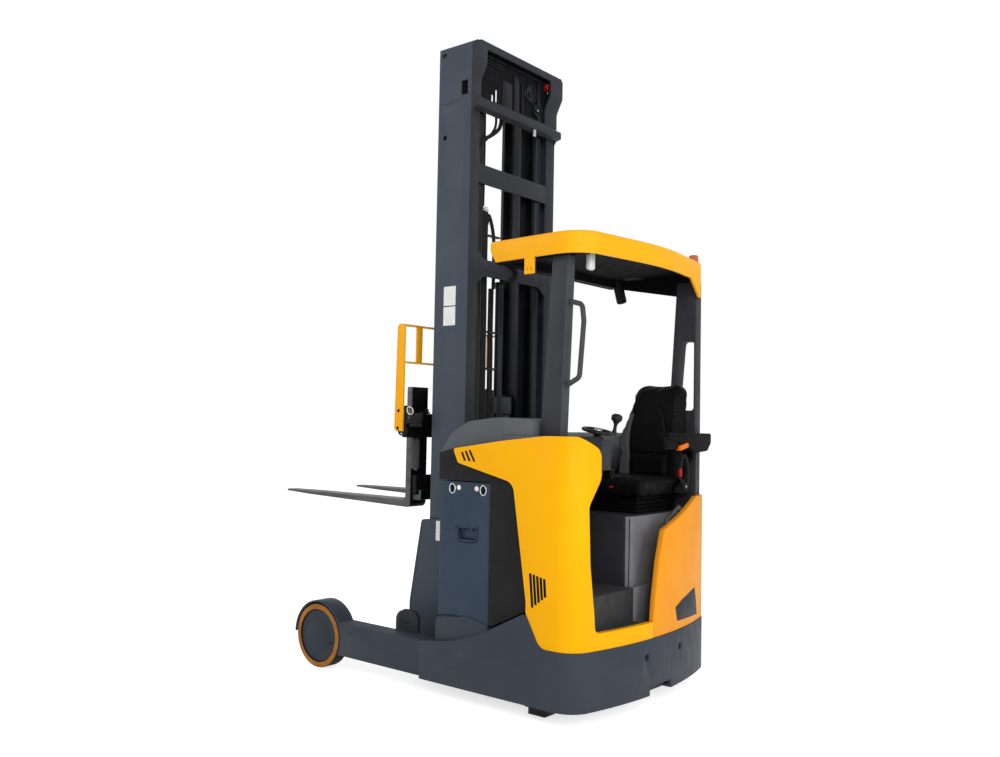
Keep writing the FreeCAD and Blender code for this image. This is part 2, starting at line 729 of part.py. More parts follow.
def hood():
    """Moulded top over the battery, rising into the instrument hump on the left."""
    side = cab_side
    front = battery_front + cover_past_battery
    bulge = battery_front + hood_past_battery
    crown_z = waist_z + 12
    seam_z = dash_bottom + 100
    crown = side_plate([(front, hood_edge_z), (bulge, 1204, 40), (battery_front - 57, 1296, 120),
                        (battery_front - 207, crown_z, 300), (dash_front, crown_z, 30),
                        (dash_front, seam_z), (battery_x, hood_edge_z)], -side, side)
    hump = side_plate([(front, 1160), (bulge, 1204, 40), (battery_front - 59, 1300, 60),
                       (battery_front - 167, 1360, 120), (battery_x - 25, hump_z, 300),
                       (hump_rear, hump_z - 6, 30), (hump_rear, waist_z),
                       (dash_front, waist_z), (dash_front, 1160)], hump_y, side)
    low = hood_edge_z - hood_wall
    rear = dash_front + hood_wall
    hollow = side_plate([(battery_front - 20, low), (battery_front - 20, 1190, 30),
                         (battery_front - 67, 1272, 100), (battery_front - 207, crown_z - hood_wall, 280),
                         (rear, crown_z - hood_wall, 20), (rear, seam_z + 15), (battery_x + 20, low)],
                        hood_wall - side, side - hood_wall)
    return fused(crown, hump).cut(hollow)


# ---- cab -----------------------------------------------------------------------------------
def dash():
    """Instrument console in front of the operator, with a nose below the hand wheel."""
    inner_y = cab_side - dash_depth
    nose_y = inner_y - dash_nose
    block = box(dash_rear, dash_front, inner_y, cab_side, dash_bottom, waist_z)
    nose = plan_plate([(dash_rear, inner_y + past), (dash_rear, nose_y, 60), (dash_nose_x, nose_y, 60),
                       (dash_nose_x + 70, inner_y + past)], dash_bottom + 30, waist_z)
    wall = 20
    cavity = box(dash_rear + wall, dash_front - wall, inner_y + wall, cab_side - wall, dash_bottom - past,
                 waist_z - wall)
    return fused(block, nose).cut(cavity).common(cab_space(dash_bottom - past, waist_z))


def cab_floor():
    """Platform and step, one sheet thick, on four posts."""
    right = seat_box_left + past
    low = platform_z - plate
    step_left = cab_side - bearer_width + 20
    platform = box(riser_x, cab_front, right, cab_side, low, platform_z)
    riser = box(riser_x, riser_x + plate, right, step_left, step_z, low)
    step = box(-rear_corner_radius, riser_x + plate, right, step_left, step_z - plate, step_z)
    posts = [box(x, x + plate, y, y + bearer_width, hull_floor_top, low)
             for x in (riser_x + 40, cab_front - 40) for y in (right + 4, cab_side - 90)]
    return fused(platform, riser, step, *posts).common(cab_space(hull_floor_top, platform_z))


def seat_box():
    """Box under the seat, open below, around the drive motor."""
    outer = box(seat_box_rear, seat_box_front, -cab_side, seat_box_left, drive_deck_z, seat_box_top)
    corner = [edge for edge in outer.Edges
              if abs(edge.CenterOfMass.x - seat_box_rear) < 0.01
              and abs(edge.CenterOfMass.y - seat_box_left) < 0.01]
    outer = outer.makeFillet(seat_box_corner, corner)
    inner = box(seat_box_rear + plate, seat_box_front - plate, plate - cab_side, seat_box_left - plate,
                drive_deck_z - past, seat_box_top - plate)
    return outer.cut(inner).common(cab_space(drive_deck_z, seat_box_top))


def seat_base():
    """Suspension plate, bellows block and top plate."""
    x0 = seat_x + 80
    x1 = seat_x + seat_width
    back = -pillar_inner + 50
    front = back + cushion_depth - 10
    low_top = seat_box_top + 16
    bellows_top = seat_box_top + seat_base_height - 18
    return fused(box(x0, x1, back, front, seat_box_top, low_top),
                 box(x0 + 20, x1 - 20, back + 20, front - 20, low_top, bellows_top),
                 box(x0 - 10, x1, back - 10, front + 20, bellows_top, seat_box_top + seat_base_height))


def seat_cushion():
    rear = running_gap - pillar_inner + 115
    pad = box(seat_x, seat_x + seat_width, rear, rear + cushion_depth, seat_z, seat_z + cushion_height)
    upper_edges = [edge for edge in pad.Edges if edge.CenterOfMass.z > seat_z + past]
    return pad.makeFillet(cushion_edge_radius, upper_edges)


def seat_back():
    """Backrest, leaning to the right-hand side of the truck, narrower at the top."""
    rear = running_gap - pillar_inner
    x0 = seat_x
    x1 = seat_x + seat_width
    shoulder_z = seat_z + 352
    lean = cross_plate([(rear + 99, seat_z), (rear + 109, seat_z + 242, 200), (rear + 65, seat_top, 30),
                        (rear, seat_top, 30), (rear + 23, seat_z)], x0, x1)
    taper = side_plate([(x0, seat_z), (x0, shoulder_z + 60, 160), (x0 + 8, seat_top + past, 76),
                        (x1 - 108, seat_top + past, 110), (x1, shoulder_z - 60, 120), (x1, seat_z)],
                       rear - past, rear + 115)
    return lean.common(taper)


def armrest():
    """Deep-ended armrest on the rear side of the seat, on a stay from the backrest."""
    back = -pillar_inner - 90
    front = back + armrest_length + past
    pad = cross_plate([(front, armrest_z, 14), (front, armrest_z - 28, 12),
                       (front - 182, armrest_z - 60, 100),
                       (front - 312, armrest_z - 104, 50), (back + 40, armrest_z - 96, 40),
                       (back, armrest_z - 52, 30), (back + 2, armrest_z - 2, 12)],
                      armrest_x, armrest_x + armrest_width)
    stay_y = running_gap - pillar_inner + 10
    stay = box(armrest_x + 34, seat_x - rest_gap, stay_y, stay_y + 40, armrest_z - 132, armrest_z - 52)
    return fused(pad, stay)


def tilted(shape):
    """Tilts a shape that is made round the origin to the hand wheel's slope and puts it in its place."""
    shape.rotate(V(0, 0, 0), V(0, 1, 0), -hand_wheel_tilt)
    shape.translate(V(hand_wheel_x, hand_wheel_y, hand_wheel_z))
    return shape


def hand_wheel():
    """Small hand wheel with three spokes and a spinner knob."""
    ring = Part.makeTorus(hand_wheel_radius, hand_wheel_grip, V(0, 0, 0), V(0, 0, 1))
    hub = rod(hand_wheel_hub, (0, 0, -hub_depth), (0, 0, 4))
    spokes = [rod(spoke_radius, (0, 0, -3), (hand_wheel_radius * math.cos(a),
                                             hand_wheel_radius * math.sin(a), -1))
              for a in (math.radians(90), math.radians(210), math.radians(330))]
    knob_x = hand_wheel_radius * math.cos(math.radians(knob_angle))
    knob_y = hand_wheel_radius * math.sin(math.radians(knob_angle))
    knob_low = knob_height - knob_depth
    knob = fused(rod(spoke_radius, (knob_x, knob_y, 0), (knob_x, knob_y, knob_low + past)),
                 rod(knob_radius, (knob_x, knob_y, knob_low), (knob_x, knob_y, knob_height)))
    return tilted(fused(ring, hub, *spokes, knob))


def hand_wheel_column():
    """Stub under the hand wheel's hub, standing on the dash."""
    low = waist_z - hand_wheel_z
    stub = rod(column_radius, (0, 0, 2 * low), (0, 0, -hub_depth - rest_gap))
    return tilted(stub).common(box(0, tall, 0, half_width, waist_z, tall))


def control_levers():
    """Lever console at the right-hand end of the instrument hump."""
    left = hump_y - running_gap
    base = box(dash_front - 80, dash_front, left - 90, left, waist_z - 150, waist_z + 5)
    pieces = []
    for i in range(lever_count):
        x = dash_front - 63 + lever_pitch * i
        y = left - 45
        lean = y - 12
        pieces.append(rod(5, (x, y, waist_z), (x, lean, waist_z + lever_height)))
        pieces.append(rod(lever_knob_radius, (x, lean, waist_z + lever_height - 5),
                          (x, lean - 4, waist_z + lever_height + 17)))
    return fused(base, *pieces)


def pedals():
    far = cab_side - 62
    return Part.Compound([box(x, x + pedal_width, far - pedal_length, far, platform_z,
                              platform_z + pedal_thickness) for x in pedal_x])


# ---- overhead guard ------------------------------------------------------------------------
def pillar_left():
    """Pillar that leans back a little, from the dash to the roof."""
    return side_plate([(218, waist_z), (190, roof_bottom), (277, roof_bottom), (332, waist_z)],
                      pillar_inner, pillar_y)


def pillar_rear():
    """Rear right-hand pillar, with its long grip slot."""
    top_x = pillar_rear_x + pillar_rear_depth
    post = side_plate([(pillar_rear_x, seat_box_top), (pillar_rear_x, roof_bottom), (top_x, roof_bottom),
                       (top_x + pillar_rear_spread, seat_box_top)], -pillar_y, -pillar_inner)
    x0, x1, z0, z1 = pillar_slot
    slot = side_plate([(x0, z0, 16), (x0, z1, 16), (x1, z1, 20), (x1 + pillar_slot_spread, z0, 20)],
                      -pillar_y - past, past - pillar_inner)
    return post.cut(slot).cut(cab_corner(seat_box_top - past, right_waist_z + past))


def cab_corner(z0, z1):
    """What lies outside the covers' inner face, around the rear right-hand corner."""
    around = box(-rear_corner_radius, 2 * rear_corner_radius, -half_width, -pillar_inner, z0, z1)
    return around.cut(cab_space(z0 - past, z1 + past))


def roof_outline(inset):
    """Plan of the overhead guard, drawn in by inset."""
    side = half_width - roof_inset - inset
    front = roof_front - inset
    rear = roof_rear + inset
    right = [(front, roof_front_taper - side, 30), (roof_shoulder_x, -side, roof_side_radius),
             (rear + 75, -side, roof_corner_radius), (rear, -100, roof_rear_radius)]
    return right + [(x, -y, radius) for x, y, radius in reversed(right)]


def overhead_guard():
    """Moulded rim and roof skin, with a skirt around the rear pillar's head and a tab on the left."""
    outer = plan_plate(roof_outline(0), roof_bottom, roof_top)
    upper_edges = [edge for edge in outer.Edges if edge.CenterOfMass.z > roof_top - 0.01]
    outer = outer.makeFillet(roof_edge_radius, upper_edges)
    front = roof_front + past
    slant = side_plate([(front, roof_bottom + roof_front_rise),
                        (front - roof_front_slant, roof_bottom - past), (front, roof_bottom - past)],
                       -half_width, half_width)
    shell = outer.cut(plan_plate(roof_outline(roof_skin), roof_bottom - past, roof_lining_z)).cut(slant)
    low = roof_bottom - roof_skirt
    high = roof_bottom + past
    side = half_width - roof_inset
    rim = plan_plate(roof_outline(0), low, high)
    rim = rim.cut(plan_plate(roof_outline(roof_skin), low - past, high + past))
    across = cross_plate([(-roof_skirt_y, high), (-roof_skirt_y - 1.5 * roof_skirt, low), (-side, low),
                          (-side, high)], roof_rear, roof_front)
    along = side_plate([(roof_rear, low), (roof_skirt_x - 1.2 * roof_skirt, low), (roof_skirt_x, high),
                        (roof_rear, high)], -side, 0)
    skirt = rim.common(across).common(along).cut(pillar_rear())
    tab = rim.common(box(*roof_tab_x, 0, side, roof_bottom - roof_tab_drop, high))
    holes = [rod(5, (x, 0, roof_bottom - roof_tab_drop + 22), (x, side, roof_bottom - roof_tab_drop + 22))
             for x in (roof_tab_x[0] + 17, roof_tab_x[1] - 17)]
    return fused(shell, skirt, tab.cut(Part.Compound(holes)))


def roof_frame():
    """Steel sheet and beams under the guard, which stand on the pillars."""
    low = roof_bottom
    front = roof_front - roof_skin - 2
    rear = pillar_rear_x + pillar_rear_depth
    beam_x = front - roof_beam_width
    high = roof_lining_z
    sheet = plan_plate(roof_outline(roof_skin + rest_gap), roof_sheet_z, roof_sheet_z + roof_sheet)
    front_beam = box(beam_x, front, -pillar_y + 40, pillar_y - 40, low, high)
    left_beam = box(pillar_rear_x + 20, beam_x, pillar_inner, pillar_y, low, high)
    right_beam = side_plate([(pillar_rear_x - 5, low), (pillar_rear_x - 5, high),
                             (beam_x, high), (beam_x, low), (rear, low - roof_beam_drop),
                             (rear, low)], -pillar_y, -pillar_inner).cut(pillar_rear())
    inside = plan_plate(roof_outline(roof_skin + rest_gap), low - roof_beam_drop - past, roof_lining_z)
    return fused(sheet, front_beam, left_beam, right_beam).common(inside)


def grab_handle():
    y = pillar_y - pillar_width / 2
    points = [V(210, y, 1925), V(128, y, 1905), V(118, y, 1827), V(138, y, 1570), V(215, y, 1530)]
    return bent_bar(points, handle_radius, handle_bend).cut(pillar_left())


def cab_lamp():
    """White lamp that hangs from the roof sheet, beside the left-hand pillar."""
    length, width, height = lamp_size
    return box(140, 140 + length, 393, 393 + width, roof_sheet_z - height, roof_sheet_z)


def rear_beacon():
    """Amber lamp, let into the roof's rear right-hand corner."""
    return rod(beacon_radius, (beacon_x, beacon_y, roof_top), (beacon_x, beacon_y, roof_top + beacon_height))


def rear_view_camera():
    """Small round unit that hangs at a slant from the roof sheet, beside the front beam."""
    body = rod(camera_radius, camera_top, camera_foot)
    return body.common(box(0, tall, -half_width, 0, 0, roof_sheet_z)).cut(roof_frame())


# ---- mast ----------------------------------------------------------------------------------
def channel(outer_face, z0, z1):
    """Left-hand mast channel, open towards the middle; outer_face is its outer Y."""
    inner = outer_face - rail_reach
    body = box(rail_x, mast_front, inner, outer_face, z0, z1)
    hollow = box(rail_x + rail_flange, mast_front - rail_flange, inner - past, outer_face - rail_web,
                 z0 - past, z1 + past)
    return body.cut(hollow)


def guide_rollers(face, gap, heights):
    """Rollers on a stage's outer faces, which run in the channel around them."""
    x = rail_x + rail_depth / 2
    start = face + gap + mast_roller_boss
    radius = rail_depth / 2 - rail_flange - rest_gap
    pieces = []
    for z in heights:
        pieces.append(rod(mast_roller_axle, (x, face - 2, z), (x, start, z)))
        pieces.append(rod(radius, (x, start, z), (x, start + mast_roller_width, z)))
    return with_mirrored(pieces)


def outer_rail():
    """Left-hand outer rail, with the plates that close it in behind."""
    inner = mast_half_width - rear_plate_width
    outer = mast_half_width
    back = box(mast_rear, mast_rear + rear_plate_thickness, inner, outer, mast_bottom, mast_top)
    side = box(mast_rear, rail_x, outer - rear_plate_thickness, outer, mast_bottom, mast_top)
    cuts = [rod(lifting_hole_radius, (mast_front - inset, inner, z), (mast_front - inset, outer + past, z))
            for inset, z in ((36, mast_top - 37), (49, mast_top - 492))]
    cuts.append(box(mast_rear + side_slot_x[0], mast_rear + side_slot_x[1], inner, outer + past,
                    mast_top - side_slot_drop[0], mast_top - side_slot_drop[1]))
    return fused(channel(outer, mast_bottom, mast_top), back, side).cut(Part.Compound(cuts))


def cross_bars():
    """Two plates across the back of the outer rails; the lower one is arched above and below."""
    x0 = mast_rear
    x1 = x0 + rear_plate_thickness
    side = mast_half_width - rear_plate_width
    bend = side - 60
    low, high = [mast_top - drop for drop in arched_bar_drop]
    rise = arched_bar_rise
    arched = cross_plate([(-side, low), (-side, high), (-bend, high - rise, 60), (bend, high - rise, 60),
                          (side, high), (side, low), (bend, low + rise, 60), (-bend, low + rise, 60)], x0, x1)
    upper = box(x0, x1, -side, side, mast_top - upper_bar_drop[0], mast_top - upper_bar_drop[1])
    return upper, arched


def mast_head():
    """Window frame that stands behind the top of the mast, bent forwards at its foot, with a beam below."""
    x0 = mast_rear - head_depth
    x1 = x0 + rear_plate_thickness
    foot_x = x0 + head_bend
    inner = mast_half_width - rear_plate_thickness
    head_bottom = mast_top - head_height
    bend_top = mast_top - head_bend_drop
    bend_foot = bend_top - 2 * head_bend
    side = side_plate([(foot_x, head_bottom), (foot_x, bend_foot, 60), (x0, bend_top, 60), (x0, mast_top, 20),
                       (mast_rear, mast_top), (mast_rear, head_bottom - 20)], inner, mast_half_width)
    thick = rear_plate_thickness
    face = side_plate([(foot_x, head_bottom), (foot_x, bend_foot, 60), (x0, bend_top, 60), (x0, mast_top),
                       (x1, mast_top), (x1, bend_top + 4, 60), (foot_x + thick, bend_foot + 4, 60),
                       (foot_x + thick, head_bottom)], -inner, inner)
    beam = side_plate([(foot_x + past, head_bottom), (foot_x - head_beam_depth, head_bottom + 8, 8),
                       (foot_x - head_beam_depth, head_bottom + head_beam_height, 14),
                       (foot_x + past, head_bottom + head_beam_height + 4)],
                      -mast_half_width, mast_half_width)
    y0, y1 = head_window_y
    z0, z1 = [mast_top - drop for drop in head_window_drop]
    r = head_window_radius
    window = cross_plate([(y0, z0, r), (y0, z1, r), (y1, z1, r), (y1, z0, r)], x0 - past, mast_rear)
    lip = box(x0 + past, mast_rear, -inner, inner, mast_top - rear_plate_thickness, mast_top)
    return fused(face.cut(window), side, mirrored(side), lip, beam)


def lift_barrels():
    start = (lift_cylinder_x, lift_cylinder_y, mast_bottom)
    end = (lift_cylinder_x, lift_cylinder_y, mast_top - lift_barrel_drop)
    return with_mirrored([tube(lift_barrel_radius, lift_rod_radius + rod_fit, start, end)])


def lift_rods():
    return with_mirrored([rod(lift_rod_radius,
                              (lift_cylinder_x, lift_cylinder_y, mast_bottom + lift_rod_foot),
                              (lift_cylinder_x, lift_cylinder_y, mast_top - lift_rod_drop))])


def middle_mast():
    """Middle stage: its rear cross bars pass in front of the lift cylinders."""
    low = mast_bottom + running_gap
    top = mast_top - middle_stage_drop
    bar_front = rail_x - running_gap
    bar_rear = bar_front - plate
    pieces = [channel(middle_face, low, top)]
    for z in (low, top - stage_bar_height):
        pieces.append(box(bar_rear, bar_front, 0, middle_face, z, z + stage_bar_height))
        pieces.append(box(bar_rear, rail_x + past, inner_face + rail_gap + 4, middle_face, z,
                          z + stage_bar_height))
    head_low = mast_top - lift_rod_drop
    pieces.append(box(lift_cylinder_x - lift_barrel_radius, bar_front, lift_cylinder_y - 30, middle_face,
                      head_low, head_low + lift_head_thickness))
    heights = [low + z for z in mast_roller_heights]
    return fused(*with_mirrored(pieces), *guide_rollers(middle_face, outer_rail_gap, heights))


def inner_mast():
    low = mast_bottom + running_gap
    top = mast_top - inner_stage_drop
    pieces = [channel(inner_face, low, top)]
    for z in (low, top - stage_bar_height):
        pieces.append(box(rail_x, rail_x + rail_flange, 0, inner_face, z, z + stage_bar_height))
    heights = [low + z for z in mast_roller_heights]
    return fused(*with_mirrored(pieces), *guide_rollers(inner_face, rail_gap, heights))


# ---- reach carriage ------------------------------------------------------------------------
def reach_carriage():
    """Side arms in the legs, the cross beam under the mast and its stiffening plates."""
    low = leg_bottom + arm_bottom_gap
    top = leg_top - arm_top_gap
    rear = roller_x[0] - roller_radius + 6
    front = mast_front + arm_past_mast
    beam_low = mast_bottom - beam_thickness
    arm = side_plate([(rear, low, 10), (rear, top, 10), (mast_front - 31, top),
                      (mast_front - 22, arm_horn_z, 40),
                      (front, arm_horn_z, 50), (front, low, 10)], arm_inner, arm_outer)
    beam = box(mast_rear, mast_front, 0, arm_inner, beam_low, mast_bottom)
    web = box(mast_rear, mast_rear + web_thickness, mast_half_width, arm_inner, mast_bottom, web_top)
    gusset_front = mast_front + gusset_past_mast
    gusset = side_plate([(mast_front - 40, mast_bottom), (mast_front - 40, gusset_top),
                         (mast_front + 50, gusset_top - 10, 20), (gusset_front, 390, 20),
                         (gusset_front, 250, 20), (mast_front, mast_bottom)],
                        mast_half_width, mast_half_width + plate)
    left = [arm, beam, web, gusset]
    for x in roller_x:
        left.append(rod(roller_pin_radius, (x, arm_outer - past, reach_axis_z),
                        (x, roller_inner, reach_axis_z)))
    half = reach_rod_radius + lug_wall
    lug = box(mast_rear, mast_rear + lug_thickness, reach_cylinder_y - half, reach_cylinder_y + half,
              mast_bottom, reach_axis_z + half)
    return fused(*with_mirrored(left), lug)


def reach_rollers():
    return with_mirrored([rod(roller_radius, (x, roller_inner, reach_axis_z), (x, roller_outer, reach_axis_z))
                          for x in roller_x])


def reach_barrel():
    """Reach cylinder, on a foot that is bolted to the hull's floor."""
    y = reach_cylinder_y
    z = reach_axis_z
    rear = reach_barrel_rear
    body = tube(reach_barrel_radius, reach_rod_radius + rod_fit, (rear, y, z),
                (mast_rear - reach_barrel_gap, y, z))
    half = reach_foot_width / 2
    foot_plate = box(rear, rear + reach_foot_length, y - half, y + half, hull_floor_top,
                     z - reach_barrel_radius + lug_wall)
    return fused(body, foot_plate)


def reach_rod():
    y = reach_cylinder_y
    return rod(reach_rod_radius, (reach_barrel_rear + 10, y, reach_axis_z), (mast_rear, y, reach_axis_z))


# ---- fork carriage -------------------------------------------------------------------------
def fork_carriage():
    """Two roller arms inside the mast, carrying the bars that the forks hang on."""
    rear = rail_x + rail_flange + 8
    front = mast_front + 20
    high = carriage_arm_top
    arm = side_plate([(rear, carriage_arm_low, 10), (rear, high - 52, 20), (mast_front + 49, high, 20),
                      (bar_x, high), (bar_x, lower_bar_z), (front, lower_bar_z), (front, carriage_arm_low)],
                     carriage_face - carriage_arm_thickness, carriage_face)
    bar_front = bar_x + bar_thickness
    ear = box(bar_x, bar_x + 50, bar_half_width - lug_wall, bar_half_width, *ear_z)
    post = box(bar_x, bar_front, carriage_face - carriage_post_width, carriage_face, lower_bar_z, high)
    left = [arm, ear, post]
    for z, half in ((lower_bar_z, lower_bar_half_width), (upper_bar_z, bar_half_width)):
        left.append(box(bar_x, bar_front, 0, half, z, z + bar_height))
    return fused(*with_mirrored(left), *guide_rollers(carriage_face, rail_gap, carriage_roller_z))


def load_backrest():
    """Guard behind the load: two posts, two cross bars and two short uprights."""
    front = bar_x + backrest_stand_off + backrest_depth
    rear = bar_x + backrest_stand_off
    post = side_plate([(rear, backrest_foot), (rear, backrest_top, 25), (front, backrest_top, 25),
                       (front + 10, backrest_foot, 20)], bar_half_width, bar_half_width + backrest_plate)
    left = [post]
    top_bar_z = backrest_top - backrest_plate
    for z in (backrest_bar_z, top_bar_z):
        left.append(box(rear + 8, front - 8, 0, bar_half_width, z, z + backrest_bar))
    left.append(box(rear + 14, rear + 24, upright_y, upright_y + upright_width,
                    backrest_bar_z + backrest_bar, top_bar_z))
    return fused(*with_mirrored(left))


def fork():
    """Left-hand fork, hung on both carriage bars."""
    y0 = fork_spread - fork_width / 2
    y1 = fork_spread + fork_width / 2
    top = fork_top
    tip = fork_tip_x
    blade = side_plate([(shank_x, shank_top), (shank_x, top - fork_thickness, heel_outer_radius),
                        (tip - 20, top - 2 * tip_height), (tip, top - tip_height - 2), (tip, top - 2),
                        (tip - 30, top), (fork_heel_x, top, heel_inner_radius), (fork_heel_x, shank_top, 8)],
                       y0, y1)
    taper_x = tip - 260
    nose = fork_width / 4
    plan = plan_plate([(bar_x, y0), (bar_x, y1), (taper_x, y1, 200), (tip, fork_spread + nose, 26),
                       (tip, fork_spread - nose, 26), (taper_x, y0, 200)],
                      top - 2 * fork_thickness, shank_top + past)
    hook_y0 = y0 + hook_inset
    hook_y1 = y1 - hook_inset
    bar_top = upper_bar_z + bar_height
    hook_rear = bar_x - hook_depth
    claw_front = bar_x - running_gap
    hook_top = bar_top + hook_height
    foot_low = lower_bar_z - hook_lip
    foot_high = lower_bar_z - running_gap
    hooks = [box(hook_rear, shank_x + past, hook_y0, hook_y1, bar_top + rest_gap, hook_top),
             box(hook_rear, claw_front, hook_y0, hook_y1, bar_top - hook_lip, hook_top),
             box(hook_rear, shank_x + past, hook_y0, hook_y1, foot_low, foot_high),
             box(hook_rear, claw_front, hook_y0, hook_y1, foot_low, lower_bar_z + 20)]
    return fused(blade.common(plan), *hooks)


# ---- everything ----------------------------------------------------------------------------
os.makedirs("parts", exist_ok=True)

save("chassis_base", chassis_base())
save("drive_deck", drive_deck())
save("battery_tray", battery_tray())
save("battery", battery())
save("leg_left", leg())
save("leg_right", mirrored(leg()))
save("stabiliser_foot", foot())
tyre, disc = load_wheel()
save("load_tyre_left", tyre)
save("load_disc_left", disc)
save("load_tyre_right", mirrored(tyre))
save("load_disc_right", mirrored(disc))
save("drive_turntable", drive_unit())
tyre, rim = drive_wheel()
save("drive_tyre", tyre)
save("drive_rim", rim)
save("drive_motor", drive_motor())
save("side_panel_left", side_panel_left())
save("side_panel_right", side_panel_right())
save("rear_cover", rear_cover())
save("entry_grip", entry_grip())
save("trim_left", trim())
save("trim_right", mirrored(trim()))
save("hood", hood())
save("dash_console", dash())
save("steering_column", hand_wheel_column())
save("steering_wheel", hand_wheel())
save("control_levers", control_levers())
save("pedals", pedals())
save("cab_floor", cab_floor())
save("seat_box", seat_box())
save("seat_base", seat_base())
save("seat_cushion", seat_cushion())
save("seat_back", seat_back())
save("armrest", armrest())
save("pillar_left", pillar_left())
save("pillar_rear", pillar_rear())
save("roof_frame", roof_frame())
save("overhead_guard", overhead_guard())
save("grab_handle", grab_handle())
save("cab_lamp", cab_lamp())
save("rear_beacon", rear_beacon())
save("rear_view_camera", rear_view_camera())
save("reach_barrel", reach_barrel())
save("reach_carriage", reach_carriage())
save("reach_rollers", *reach_rollers())
save("reach_rod", reach_rod())
save("outer_rail_left", outer_rail())
save("outer_rail_right", mirrored(outer_rail()))
save("mast_head", mast_head())
save("mast_cross_bars", *cross_bars())
save("lift_barrels", *lift_barrels())
save("middle_mast", middle_mast())
save("lift_rods", *lift_rods())
save("inner_mast", inner_mast())
save("fork_carriage", fork_carriage())
save("load_backrest", load_backrest())
save("fork_left", fork())
save("fork_right", mirrored(fork()))
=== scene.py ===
"""Finishes and fittings of a reach truck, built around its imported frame."""

import json
import math
from contextlib import contextmanager

import bmesh
import bpy
from mathutils import Matrix, Vector
from mathutils.bvhtree import BVHTree

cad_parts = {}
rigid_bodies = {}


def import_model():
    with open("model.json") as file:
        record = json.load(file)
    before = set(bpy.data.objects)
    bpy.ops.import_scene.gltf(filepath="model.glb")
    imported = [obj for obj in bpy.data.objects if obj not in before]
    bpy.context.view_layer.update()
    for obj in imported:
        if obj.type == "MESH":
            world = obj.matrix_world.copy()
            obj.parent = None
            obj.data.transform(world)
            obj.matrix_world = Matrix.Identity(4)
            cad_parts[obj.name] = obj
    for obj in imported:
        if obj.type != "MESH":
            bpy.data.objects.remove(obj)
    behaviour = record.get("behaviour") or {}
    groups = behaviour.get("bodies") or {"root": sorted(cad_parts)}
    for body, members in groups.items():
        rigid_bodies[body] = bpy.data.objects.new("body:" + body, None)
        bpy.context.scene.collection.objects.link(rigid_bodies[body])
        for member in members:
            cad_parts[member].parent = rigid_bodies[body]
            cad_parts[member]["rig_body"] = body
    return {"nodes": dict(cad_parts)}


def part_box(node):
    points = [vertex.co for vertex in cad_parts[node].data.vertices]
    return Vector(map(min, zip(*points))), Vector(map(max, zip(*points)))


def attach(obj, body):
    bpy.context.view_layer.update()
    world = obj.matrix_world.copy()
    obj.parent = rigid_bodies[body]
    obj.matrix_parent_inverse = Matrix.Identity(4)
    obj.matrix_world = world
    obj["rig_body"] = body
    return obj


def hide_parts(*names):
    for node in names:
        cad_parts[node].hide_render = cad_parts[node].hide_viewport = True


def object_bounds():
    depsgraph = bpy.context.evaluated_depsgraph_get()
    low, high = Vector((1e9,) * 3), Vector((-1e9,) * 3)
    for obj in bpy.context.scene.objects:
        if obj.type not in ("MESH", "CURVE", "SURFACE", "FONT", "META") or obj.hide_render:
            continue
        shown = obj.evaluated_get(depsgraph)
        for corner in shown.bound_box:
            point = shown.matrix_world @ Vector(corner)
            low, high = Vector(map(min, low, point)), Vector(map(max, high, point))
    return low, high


bl_info = {
    "name": "Reach truck",
    "version": (1, 0, 0),
    "blender": (4, 5, 0),
    "location": "3D View > Sidebar > Truck",
    "description": "Paints the frame of a reach truck and adds its seat, fittings and small parts",
    "category": "Object",
}

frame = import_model()
CAD_BOX = [list(corner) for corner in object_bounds()]
NODES = frame["nodes"]

# Lengths below are in millimetres from the rear datum, the centre line and the floor.
# The rear datum stands 9 mm in front of the hull's rearmost point.
REAR = CAD_BOX[0][0] + 0.009
# Points nearer than this, in metres, are one.
MERGE = 1e-5
# The truck's left and right, as the sign of y.
SIDES = (1, -1)


def spot(x, y, z):
    """A place in millimetres as a point of the shared frame in metres."""
    return Vector((REAR + x / 1000, y / 1000, z / 1000))


def size(x, y, z):
    """Three lengths in millimetres as metres."""
    return Vector((x, y, z)) / 1000


def in_mm(point):
    """A point of the shared frame as a place in millimetres."""
    return (point.x - REAR) * 1000, point.y * 1000, point.z * 1000


def corners(node):
    """The lowest and highest corners of a frame part in millimetres."""
    return [in_mm(corner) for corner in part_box(node)]


def at_side(points, y):
    """Points of (x, z) set at one distance from the centre line."""
    return [(x, y, z) for x, z in points]


def linear(hex_colour):
    """An sRGB hex colour as the linear RGBA that shaders read."""
    parts = [int(hex_colour[i : i + 2], 16) / 255 for i in (1, 3, 5)]
    return tuple(c / 12.92 if c <= 0.04045 else ((c + 0.055) / 1.055) ** 2.4 for c in parts) + (1.0,)


# ---------------------------------------------------------------- shapes


def soften(bm, edges, radius, segments=2):
    """Rounds these edges of a mesh."""
    if radius:
        bmesh.ops.bevel(
            bm,
            geom=list(edges),
            offset=radius / 1000,
            offset_type="OFFSET",
            segments=segments,
            profile=0.5,
            affect="EDGES",
            material=-1,
            clamp_overlap=True,
        )


def points_of(geometry):
    """The points among some mesh geometry."""
    return [v for v in geometry if isinstance(v, bmesh.types.BMVert)]


def block(bm, low, high, radius=2.0, segments=2, turn=None):
    """A rounded block between two corners in millimetres, turned about its middle."""
    a, b = spot(*low), spot(*high)
    middle = Matrix.Translation((a + b) / 2)
    where = middle @ (turn or Matrix.Identity(4)) @ Matrix.Diagonal((*(b - a), 1))
    made = bmesh.ops.create_cube(bm, size=1, matrix=where)["verts"]
    soften(bm, {e for v in made for e in v.link_edges}, radius, segments)


def side_block(bm, x, ys, z, radius, segments=2):
    """A rounded block from pairs of x, of distances from the centre line in any order, and of z."""
    near, far = sorted(ys)
    block(bm, (x[0], near, z[0]), (x[1], far, z[1]), radius, segments)


